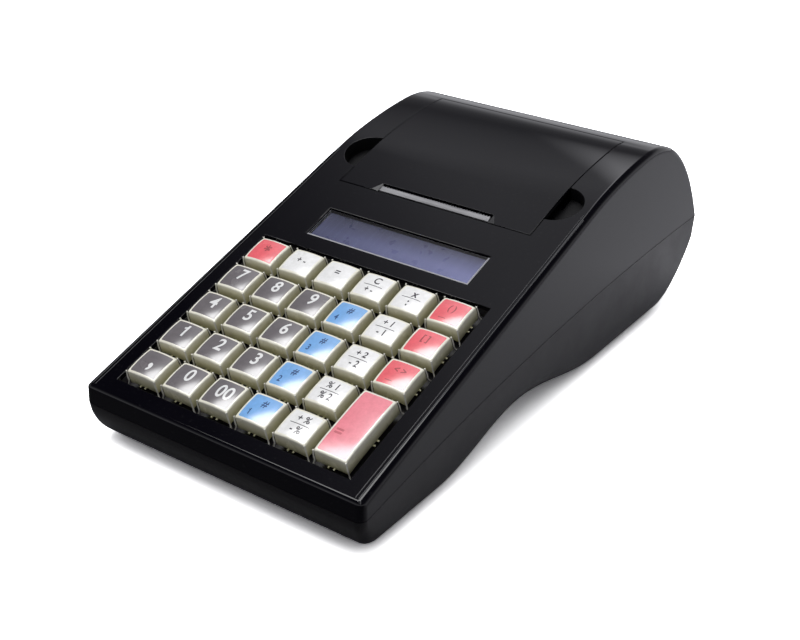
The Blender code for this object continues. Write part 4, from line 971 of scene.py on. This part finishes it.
def printed_text(text, height):
    """Narrow letters as a thin solid, centred on the origin."""
    words = bpy.data.curves.new("sign", "FONT")
    words.body = text
    words.size = height * MM * 1.38
    words.offset = height * MM * (0.026 if height > 5 else 0.022)
    words.align_x = "CENTER"
    words.align_y = "CENTER"
    words.extrude = INK
    words.resolution_u = 5
    drawn = bpy.data.objects.new("sign", words)
    bpy.context.scene.collection.objects.link(drawn)
    bpy.context.view_layer.update()
    seen = drawn.evaluated_get(bpy.context.evaluated_depsgraph_get())
    mesh = bpy.data.meshes.new_from_object(seen)
    bpy.data.objects.remove(drawn, do_unlink=True)
    shape = bmesh.new()
    shape.from_mesh(mesh)
    bpy.data.meshes.remove(mesh)
    bmesh.ops.remove_doubles(shape, verts=shape.verts, dist=0.0005 * MM)
    bmesh.ops.scale(shape, vec=(0.84, 1, 1), verts=shape.verts)
    if text == "1":
        flag = block((-0.27 * height * MM, -0.06 * height * MM, -INK),
                     (0.02 * height * MM, 0.06 * height * MM, INK))
        moved(flag, Matrix.Translation((0, 0.38 * height * MM, 0)) @ Matrix.Rotation(0.6, 4, "Z"))
        shape = joined(shape, flag)
    return shape


def sign_shape(text, height, x, y, half_length):
    """A printed sign, laid on the crown."""
    if text == "line":
        shape = block((-height * MM / 2, -0.14 * MM, -INK), (height * MM / 2, 0.14 * MM, INK))
    else:
        shape = printed_text(text, height)
    bmesh.ops.translate(shape, verts=shape.verts, vec=(x * MM, y * MM, 0))
    for normal in (Vector((1, 0, 0)), Vector((0, 1, 0))):
        for step in range(-7, 8):
            bmesh.ops.bisect_plane(shape, geom=shape.verts[:] + shape.edges[:] + shape.faces[:],
                                   plane_co=normal * step * MM, plane_no=normal, dist=0.001 * MM)
    for vertex in shape.verts:
        vertex.co.z += crown(vertex.co.x, vertex.co.y, half_length)
    for face in shape.faces:
        face.material_index = 2
        face.smooth = False
    return shape


def key_insides(half_length):
    """Small tabs round the skirt's foot, the body under the crown and the cross-shaped stem."""
    parts = []
    for side in (-1, 1):
        for place in (-1.3 * MM, 1.3 * MM):
            for half, turn in ((half_length, 0), (KEY_HALF, math.pi / 2)):
                low, high = sorted((side * (half - 0.2 * MM), side * (half + 1.15 * MM)))
                tab = block((place - 0.4 * MM, low, TAB_LOW), (place + 0.4 * MM, high, TAB_TOP), 0.2 * MM)
                parts.append(moved(tab, Matrix.Rotation(turn, 4, "Z")))
    wall = 0.9 * MM
    parts.append(block((-KEY_HALF + wall, -half_length + wall, -6.2 * MM),
                       (KEY_HALF - wall, half_length - wall, -1.3 * MM), 0.2 * MM))
    for size_x, size_y in ((2.0 * MM, 0.7 * MM), (0.7 * MM, 2.0 * MM)):
        parts.append(block((-size_x, -size_y, -15.8 * MM), (size_x, size_y, -6.0 * MM), 0.15 * MM))
    for part in parts:
        for face in part.faces:
            face.material_index = 1
    return parts


def half_length_of(span):
    return KEY_HALF_LENGTH + (span - 1) * KEY_PITCH / 2


def make_key(name, colour, span, x, v):
    """One key with its sign, in the place of its node."""
    half_length = half_length_of(span)
    parts = [cap_shape(half_length)]
    parts += [corner_leg(side_x, side_y, half_length) for side_x in (-1, 1) for side_y in (-1, 1)]
    parts += key_insides(half_length)
    sign_key = name.removeprefix("key_")
    signs = SIGNS.get(sign_key, ((sign_key, 6.6, 0.7, 1.3),))
    parts += [sign_shape(*sign, half_length) for sign in signs]
    shape = joined(*parts)
    # Depth down the cap, which the cap finish turns into a painted highlight at the upper edge and painted
    # shade at the foot.
    depth = shape.verts.layers.float.new("depth")
    for vertex in shape.verts:
        vertex[depth] = min(max(-vertex.co.z / SKIRT_DEPTH, 0), 1)
    moved(shape, DECK @ Matrix.Translation((x, v, KEY_TOP_H)))
    key = to_piece(name + "_capped", shape)
    shade(key, 40, weighted=False)
    dress(key, LABELS[colour], cap_cream, INKS[colour], leg_pale_painted_highlight)
    install(key, name, "key_" + colour, name)


def key_places():
    """Colour, span in rows, and middle across and up the deck of each key, row by row."""
    for row, colours in enumerate(KEY_ROWS):
        for column, colour in enumerate(colours):
            if colour:
                span = 2 if colour == "total" else 1
                rows_up = len(KEY_ROWS) - 1 - row - (span - 1) / 2
                yield colour, span, (column - 2.5) * KEY_PITCH, KEY_FRONT_V + KEY_PITCH * rows_up


def make_keys():
    counts = {"white": 0, "blue": 0, "red": 0}
    numbers = iter(NUMBER_NAMES)
    for colour, span, x, v in key_places():
        if colour == "grey":
            name = "key_" + next(numbers)
        elif colour == "total":
            name = "key_total"
        else:
            counts[colour] += 1
            name = f"key_{colour}_{counts[colour]}"
        make_key(name, colour, span, x, v)


def make_plate():
    """The guide plate with a slot under every leg."""
    leg_reach = 0.85 * MM
    slot_half = 0.75 * MM
    shape = bmesh.new()
    shape.from_mesh(nodes["key_plate"].data)
    moved(shape, nodes["key_plate"].matrix_world)
    plate = to_piece("key_plate_slotted", shape)
    slots = []
    for colour, span, x, v in key_places():
        for side_x in (-1, 1):
            for side_y in (-1, 1):
                spot_x = x + side_x * (KEY_HALF + leg_reach)
                spot_v = v + side_y * (half_length_of(span) + leg_reach)
                slots.append(block((spot_x - slot_half, spot_v - slot_half, -8.4 * MM),
                                   (spot_x + slot_half, spot_v + slot_half, -4.4 * MM)))
    cut(plate, deck_block((-WELL_HALF, WELL_FRONT, -6.35 * MM), (WELL_HALF, WELL_REAR, -4.9 * MM)))
    cut(plate, moved(joined(*slots), DECK))
    fit_casing(settled(plate), inner_black, "inner_black", "key_plate")


make_keys()
make_plate()

# Display

BEZEL_HALF = 43.6 * MM
BEZEL_REACH = 10.8 * MM
BEZEL_LOW = -10.5 * MM
BEZEL_TOP = -5.5 * MM
POCKET_LOW = -6.4 * MM
POCKET_HALF = 41.6 * MM
POCKET_REACH = 8.7 * MM
FACE_HALF = 41.3 * MM
FACE_REACH = 8.5 * MM
FACE_TOP = -2.7 * MM
FACE_THICKNESS = 3.5 * MM
PANE_LOW = -1.9 * MM
PANE_TOP = -0.4 * MM
PANE_CHAMFER = 0.55 * MM


def lcd_finish():
    """Blue violet display surface with the cells of two lines of signs, its colour darker at the left and
    rear as painted shade; it glows with that colour as painted light, though it is no lamp.
    """
    finish, tree, shader = new_finish("lcd_face", (0.26, 0.28, 0.52), 0.3)
    place = add(tree, "UVMap", uv_map="face").outputs["UV"]
    split = add(tree, "SeparateXYZ")
    tree.links.new(place, split.inputs[0])
    # Painted shade: darker towards the left of the face.
    left_painted_shade = blend(tree, split.outputs["X"], (0.062, 0.067, 0.140), (0.225, 0.235, 0.45))
    # Painted shade: darker towards the rear, under the recess's rear wall.
    rear_painted_shade_share = spread(tree, split.outputs["Y"], 0, 0.85, 0.35, 0.95)
    painted_shade_tone = blend(tree, rear_painted_shade_share, left_painted_shade, (0.03, 0.03, 0.05))
    cells = add(tree, "TexBrick", offset=0.0, Scale=1.0)
    for key, value in (("Mortar Size", 0.0045), ("Brick Width", 0.0465), ("Row Height", 0.36)):
        cells.inputs[key].default_value = value
    tree.links.new(place, cells.inputs["Vector"])
    lined = blend(tree, spread(tree, cells.outputs["Fac"], 0.0, 0.04, 0, 1), painted_shade_tone, (0.4, 0.42, 0.7))
    tone = blend(tree, spread(tree, noise(tree, 70, 3), 0, 0.12), lined, (0.17, 0.17, 0.30))
    # The lit colour is dimmed, so that the painted light of the face's own emission gives most of its
    # brightness.
    dimmed_under_painted_glow = blend(tree, spread(tree, noise(tree, 90, 2), 0.70, 0.78), tone, (0.004, 0.004, 0.008))
    tree.links.new(dimmed_under_painted_glow, shader.inputs["Base Color"])
    tree.links.new(spread(tree, noise(tree, 200, 3), 0.25, 0.4), shader.inputs["Roughness"])
    # Painted light: the face emits its colour, painted shade included.
    tree.links.new(tone, shader.inputs["Emission Color"])
    shader.inputs["Emission Strength"].default_value = 0.67
    return finish


def clear_finish(name, colour, roughness, clear):
    """Polished clear plastic with fine wipe marks, or, paler and less clear, an edge painted pale as its
    highlight.
    """
    finish, tree, shader = new_finish(name, colour, roughness, ior=1.49)
    shader.inputs["Transmission Weight"].default_value = clear
    marks = noise(tree, 260, 4, 0.6, (1, 0.12, 0.12))
    tone = blend(tree, spread(tree, marks, 0, 1), tuple(c * 0.96 for c in colour), colour)
    tree.links.new(tone, shader.inputs["Base Color"])
    tree.links.new(spread(tree, marks, roughness * 0.7, roughness * 1.5), shader.inputs["Roughness"])
    raise_bumps(tree, shader, marks, 0.0000006)
    return finish


def make_bezel():
    """The display module's frame with the pocket for its face."""
    bezel = to_piece("lcd_bezel", deck_block((-BEZEL_HALF, WINDOW_V - BEZEL_REACH, BEZEL_LOW),
                                             (BEZEL_HALF, WINDOW_V + BEZEL_REACH, BEZEL_TOP), 0.3 * MM))
    cut(bezel, deck_block((-POCKET_HALF, WINDOW_V - POCKET_REACH, POCKET_LOW),
                          (POCKET_HALF, WINDOW_V + POCKET_REACH, SPARE)))
    fit_casing(settled(bezel), inner_black, "lcd", "lcd_module")


def make_face():
    """The glowing face in its pocket, with a map over it for its pattern."""
    shape = bmesh.new()
    bmesh.ops.create_grid(shape, x_segments=24, y_segments=4, size=1)
    place = shape.loops.layers.uv.new("face")
    for face in shape.faces:
        for loop in face.loops:
            loop[place].uv = (loop.vert.co.x / 2 + 0.5, loop.vert.co.y / 2 + 0.5)
    bmesh.ops.scale(shape, vec=(FACE_HALF, FACE_REACH, 1), verts=shape.verts)
    edges = [edge for edge in shape.edges if edge.is_boundary]
    grown = bmesh.ops.extrude_edge_only(shape, edges=edges)["geom"]
    bmesh.ops.translate(shape, verts=[v for v in grown if isinstance(v, bmesh.types.BMVert)],
                        vec=(0, 0, -FACE_THICKNESS))
    bmesh.ops.holes_fill(shape, edges=[edge for edge in shape.edges if edge.is_boundary])
    bmesh.ops.recalc_face_normals(shape, faces=shape.faces)
    moved(shape, DECK @ Matrix.Translation((0, WINDOW_V, FACE_TOP)))
    face_piece = to_piece("lcd_face", shape)
    dress(face_piece, lcd_finish())
    install(face_piece, "casing", "lcd")


def make_window():
    """The clear pane, with edges in front and at its sides painted pale as the highlight of their chamfers.
    """
    half = WINDOW_HALF - GAP
    reach = WINDOW_REACH - GAP
    shape = block((-half, WINDOW_V - reach, PANE_LOW), (half, WINDOW_V + reach, PANE_TOP))
    top = [edge for edge in shape.edges if min(v.co.z for v in edge.verts) > -1 * MM]
    soften(shape, top, PANE_CHAMFER, 1)
    for face in shape.faces:
        # Front and side edges get the pale finish, a painted highlight of their chamfers.
        face.material_index = 0 if abs(face.normal.z) > 0.9 else 2 if face.normal.y > 0.3 else 1
    moved(shape, DECK)
    window = to_piece("window_pane", shape)
    window.data.set_sharp_from_angle(angle=math.radians(20))
    dress(window, clear_finish("window_clear", (0.90, 0.92, 0.97), 0.03, 1.0),
          clear_finish("window_edge_painted_highlight", (0.80, 0.80, 0.84), 0.35, 0.25), inner_black)
    install(window, "casing", "window_clear", "display_window")


# Tear bar: tooth depth, and the heights of its edges above the deck
TEETH = 40
TOOTH = 0.55 * MM
TOOTH_REACH = 0.15 * MM
TEAR_LOW = -1.5 * MM
TEAR_TOP_FRONT = -0.3 * MM
TEAR_TOP_REAR = 0.1 * MM
TEAR_LOW_REAR = -0.3 * MM
CHEEK_LOW = -1.75 * MM
CHEEK_TOP = 0.3 * MM
CHEEK_INNER = 29.2 * MM
CHEEK_REAR = 29.7 * MM
CHEEK_FRONT = 32.6 * MM


def make_tear_bar():
    """The steel bar, toothed at the rear and sloping to the front."""
    pitch = 2 * TEAR_HALF / TEETH
    tooth_root = TEAR_REAR - TOOTH
    shape = bmesh.new()
    corners = [(-TEAR_HALF, TEAR_FRONT), (TEAR_HALF, TEAR_FRONT)]
    for tooth in range(TEETH):
        right = TEAR_HALF - tooth * pitch
        corners += [(right, tooth_root), (right - pitch / 2, TEAR_REAR)]
    corners.append((-TEAR_HALF, tooth_root))
    rim = [shape.verts.new((x, v, TEAR_LOW)) for x, v in corners]
    grown = bmesh.ops.extrude_face_region(shape, geom=[shape.faces.new(rim)])["geom"]
    for item in grown:
        if isinstance(item, bmesh.types.BMVert):
            back = item.co.y > tooth_root - TOOTH_REACH
            item.co.z = TEAR_TOP_REAR if back else TEAR_TOP_FRONT
            item.co.y += 0.4 * MM if back else 0.3 * MM
    for vertex in rim:
        if vertex.co.y > tooth_root - TOOTH_REACH:
            vertex.co.z = TEAR_LOW_REAR
    bmesh.ops.recalc_face_normals(shape, faces=shape.faces)
    bar = to_piece("tear_bar_toothed", moved(shape, DECK))
    dress(bar, tear_steel)
    install(bar, "casing", "tear_steel", "tear_bar")


def make_cheeks():
    """The slanting cheeks at both ends of the paper slot."""
    for side, word in ((-1, "left"), (1, "right")):
        shape = block((-1, -1, CHEEK_LOW), (1, 1, CHEEK_TOP))
        for vertex in shape.verts:
            back = vertex.co.y > 0
            inner = vertex.co.x * side < 0
            vertex.co.x = side * (CHEEK_INNER if inner else CHEEK_REAR if back else CHEEK_FRONT)
            vertex.co.y = LID_FRONT + (5.2 * MM if back else 0.1 * MM)
            if inner and vertex.co.z > 0:
                vertex.co.z -= 0.5 * MM
        bmesh.ops.recalc_face_normals(shape, faces=shape.faces)
        soften(shape, shape.edges, 0.15 * MM)
        fit_casing(to_piece("slot_cheek_" + word, moved(shape, DECK)), cheek_grey, "cover_gloss_black")


make_bezel()
make_face()
make_window()
make_tear_bar()
make_cheeks()

# Small parts below, behind and inside

SCREW_RADIUS = 2.9 * MM
SCREW_HEAD = 1.4 * MM
SCREW_LOW = 3.15 * MM
CROSS_HALF = 1.7 * MM
CROSS_WIDTH = 0.32 * MM
CROSS_Z = 3.2 * MM
CROSS_DEPTH = 0.7 * MM
DOOR_FACE = 3.4 * MM
RIDGE_YS = (-49.0 * MM, -47.2 * MM, -45.4 * MM)
RIDGE_HALF = 9 * MM
RIDGE_WIDTH = 0.9 * MM
JACK = (-44 * MM, 132.2 * MM, 36.4 * MM)
CONTACTS = (-22 * MM, 138.4 * MM, 34.6 * MM)
CONTACT_PITCH = 1.02 * MM

# Chips on the main board: corner, size and height, in mm
CHIPS = ((-6, 104, 14, 14, 1.6), (16, 98, 10, 6, 1.5), (32, 96, 9, 22, 2.4),
         (-50, 96, 12, 8, 2.2), (-30, 100, 8, 5, 1.2), (14, 112, 6, 10, 1.2))


def make_screws():
    """Four cross-head screws in their wells under the base."""
    for number, (x, y) in enumerate(SCREWS, 1):
        head = bmesh.new()
        bmesh.ops.create_cone(head, cap_ends=True, segments=40, radius1=SCREW_RADIUS - 0.6 * MM,
                              radius2=SCREW_RADIUS, depth=SCREW_HEAD,
                              matrix=Matrix.Translation((x, y, SCREW_LOW + SCREW_HEAD / 2)))
        lower = [edge for edge in head.edges if all(v.co.z < SCREW_LOW + 0.15 * MM for v in edge.verts)]
        screw = to_piece(f"base_screw_{number}", soften(head, lower, 0.4 * MM, 3))
        turn = Matrix.Translation((x, y, CROSS_Z)) @ Matrix.Rotation(0.4 * number, 4, "Z")
        for size_x, size_y in ((CROSS_HALF, CROSS_WIDTH), (CROSS_WIDTH, CROSS_HALF)):
            cross = block((-size_x, -size_y, -1 * MM), (size_x, size_y, CROSS_DEPTH))
            cut(screw, moved(cross, turn))
        fit_casing(settled(screw), zinc_steel, "steel")


def make_door_grip():
    """Three ridges to push the battery door open."""
    bars = [block((-RIDGE_HALF, y, DOOR_FACE - 0.45 * MM),
                  (RIDGE_HALF, y + RIDGE_WIDTH, DOOR_FACE + 0.2 * MM), 0.25 * MM, 3)
            for y in RIDGE_YS]
    fit_casing(to_piece("door_grip", joined(*bars)), base_satin, "base_satin_black")


def make_jack_pin():
    """The rounded pin in the middle of the power jack."""
    pin = rod(1.0 * MM, 10.5 * MM, 24)
    tip = [edge for edge in pin.edges if all(v.co.z > 10 * MM for v in edge.verts)]
    soften(pin, tip, 0.5 * MM, 3)
    moved(pin, Matrix.Translation(JACK) @ Matrix.Rotation(-math.pi / 2, 4, "X"))
    fit_casing(to_piece("jack_pin", pin), zinc_steel, "steel")


def make_contacts():
    """Eight slanting contacts in the data socket."""
    strips = []
    for index in range(8):
        x = CONTACTS[0] + (index - 3.5) * CONTACT_PITCH
        strip = block((x - 0.25 * MM, -3.2 * MM, -0.12 * MM), (x + 0.25 * MM, 3.2 * MM, 0.12 * MM),
                      0.05 * MM)
        slant = Matrix.Translation((0, *CONTACTS[1:])) @ Matrix.Rotation(-0.42, 4, "X")
        strips.append(moved(strip, slant))
    fit_casing(to_piece("socket_contacts", joined(*strips)), contact_gold, "steel")


def make_chips():
    """The parts on the main board."""
    chips = [block((x * MM, y * MM, BOARD_TOP - 0.1 * MM),
                   ((x + width) * MM, (y + length) * MM, BOARD_TOP + height * MM), 0.2 * MM)
             for x, y, width, length, height in CHIPS]
    fit_casing(to_piece("board_chips", joined(*chips)), socket_black, "circuit_board")


make_screws()
make_door_grip()
make_jack_pin()
make_contacts()
make_chips()

# CAD nodes whose shape is right keep it, and get their finish
for names, finish in (
        ("display_board key_board main_board", board_green),
        ("paper_tub", inner_black), ("key_mat", mat_silicone),
        ("battery_door", base_satin), ("battery_pack", battery_sleeve),
        ("dc_jack data_socket", socket_black), ("paper_roll", roll_finish()), ("paper_core", core_card),
        ("printer_frame stepper_motor motor_pinion lid_pin_left lid_pin_right", zinc_steel),
        ("thermal_head", head_aluminium), ("platen_roller", rubber), ("platen_gear idler_gear", gear_nylon),
        ("foot_front_left foot_front_right foot_rear_left foot_rear_right", rubber)):
    for name in names.split():
        for spot in nodes[name].material_slots:
            spot.material = finish


# Floor, light and camera

def grey_ramp(tree, source, stops):
    """Levels of grey over a value, with a touch of blue."""
    ramp = add(tree, "ValToRGB")
    points = ramp.color_ramp.elements
    points.remove(points[1])
    points[0].position, level = stops[0]
    points[0].color = (level, level, level * 1.05, 1)
    for place, level in stops[1:]:
        points.new(place).color = (level, level, level * 1.05, 1)
    tree.links.new(source, ramp.inputs["Fac"])
    return ramp.outputs["Color"]


def make_stage():
    """A pale floor that keeps the shadow; its lift to the camera fades near the register as a painted
    shadow, and in reflections it is dark in front as painted shade.
    """
    shape = bmesh.new()
    bmesh.ops.create_grid(shape, x_segments=1, y_segments=1, size=6)
    floor = to_piece("floor", shape)
    finish, tree, shader = new_finish("floor_white", (0.8, 0.8, 0.8), 0.9)
    path = add(tree, "LightPath")
    seen = add(tree, "Math", operation="MAXIMUM")
    tree.links.new(path.outputs["Is Camera Ray"], seen.inputs[0])
    tree.links.new(path.outputs["Is Transmission Ray"], seen.inputs[1])
    split = add(tree, "SeparateXYZ")
    tree.links.new(add(tree, "TexCoord").outputs["Object"], split.inputs[0])
    # Seen in reflections and bounced light, the floor is dark in front of the register: painted shade on
    # its front faces.
    plain = add(tree, "BsdfDiffuse")
    tone = grey_ramp(tree, spread(tree, split.outputs["Y"], 0, 1, -0.2, 0.2),
                     ((0.10, 0.06), (0.22, 0.43), (0.6, 0.56), (0.9, 0.72)))
    tree.links.new(tone, plain.inputs["Color"])
    bright = add(tree, "BsdfDiffuse")
    bright.inputs["Color"].default_value = (2.0, 2.0, 2.0, 1)
    # Painted shadow: the emission that lifts the floor to the camera fades where the register closes it in.
    painted_shadow_occlusion = add(tree, "AmbientOcclusion", samples=8)
    painted_shadow_occlusion.inputs["Distance"].default_value = 0.05
    glow = add(tree, "Emission")
    tree.links.new(spread(tree, painted_shadow_occlusion.outputs["AO"], 0.0, 0.95, 0.22, 0.58), glow.inputs["Strength"])
    lifted = add(tree, "AddShader")
    tree.links.new(bright.outputs[0], lifted.inputs[0])
    tree.links.new(glow.outputs[0], lifted.inputs[1])
    pick = add(tree, "MixShader")
    tree.links.new(seen.outputs[0], pick.inputs[0])
    tree.links.new(plain.outputs[0], pick.inputs[1])
    tree.links.new(lifted.outputs[0], pick.inputs[2])
    tree.nodes.remove(shader)
    tree.links.new(pick.outputs[0], tree.nodes["Material Output"].inputs["Surface"])
    dress(floor, finish)


def make_world():
    """White to the camera; in reflections bright near the horizon and over the lamp, dark in front."""
    world = bpy.data.worlds.new("studio")
    bpy.context.scene.world = world
    world.use_nodes = True
    tree = world.node_tree
    back = tree.nodes["Background"]
    direction = add(tree, "TexCoord").outputs["Generated"]
    split = add(tree, "SeparateXYZ")
    tree.links.new(direction, split.inputs[0])
    low = grey_ramp(tree, split.outputs["Z"], ((0.0, 0.85), (0.30, 0.60), (0.42, 0.20), (0.5, 0.11)))
    sideways = add(tree, "Math", operation="MULTIPLY_ADD")
    tree.links.new(split.outputs["Y"], sideways.inputs[0])
    sideways.inputs[1].default_value = 0.6
    tree.links.new(split.outputs["X"], sideways.inputs[2])
    high = grey_ramp(tree, spread(tree, sideways.outputs[0], 0, 1, -0.6, 0.4),
                     ((0.04, 0.01), (0.11, 0.02), (0.224, 0.15), (0.30, 0.31), (0.35, 0.46), (0.40, 0.52),
                      (0.60, 0.55), (0.65, 2.6), (0.73, 2.6), (0.78, 0.15), (0.9, 0.04)))
    sky = blend(tree, spread(tree, split.outputs["Z"], 0, 1, 0.48, 0.68), low, high)
    path = add(tree, "LightPath")
    mix = add(tree, "Mix", data_type="RGBA")
    tree.links.new(path.outputs["Is Camera Ray"], mix.inputs["Factor"])
    tree.links.new(sky, mix.inputs[6])
    mix.inputs[7].default_value = (1, 1, 1, 1)
    tree.links.new(mix.outputs[2], back.inputs["Color"])
    back.inputs["Strength"].default_value = 1.0


def make_lamp(name, direction, distance, size, watts, edge=(1, 0, 0)):
    """A flat lamp facing the register, one pair of its edges square to a direction."""
    data = bpy.data.lights.new(name, "AREA")
    data.shape = "RECTANGLE"
    data.size, data.size_y = size
    data.energy = watts
    lamp = bpy.data.objects.new(name, data)
    bpy.context.scene.collection.objects.link(lamp)
    direction = Vector(direction).normalized()
    lamp.location = Vector((0, 0, 0.05)) + direction * distance
    across = (Vector(edge) - direction * direction.dot(Vector(edge))).normalized()
    turn = Matrix((across, direction.cross(across), direction)).transposed()
    lamp.rotation_euler = turn.to_euler()


def make_camera():
    """The camera that was fitted to the photograph."""
    data = bpy.data.cameras.new("camera")
    data.lens = 57.87
    data.sensor_width = 36
    data.clip_start = 0.01
    camera = bpy.data.objects.new("camera", data)
    bpy.context.scene.collection.objects.link(camera)
    right = Vector((0.82137, 0.56953, 0.03148))
    down = Vector((0.28445, -0.36115, -0.88806))
    ahead = Vector((-0.49441, 0.73838, -0.45864))
    turn = Matrix((right, -down, -ahead)).transposed().to_4x4()
    camera.matrix_world = Matrix.Translation((0.28530, -0.44639, 0.29250)) @ turn
    bpy.context.scene.camera = camera


make_stage()
make_world()
make_lamp("overhead", (-0.222, -0.126, 0.967), 1.5, (0.84, 1.1), 17, (0.224, -0.29, 0.156))
make_camera()
bpy.context.scene.view_settings.view_transform = "Standard"
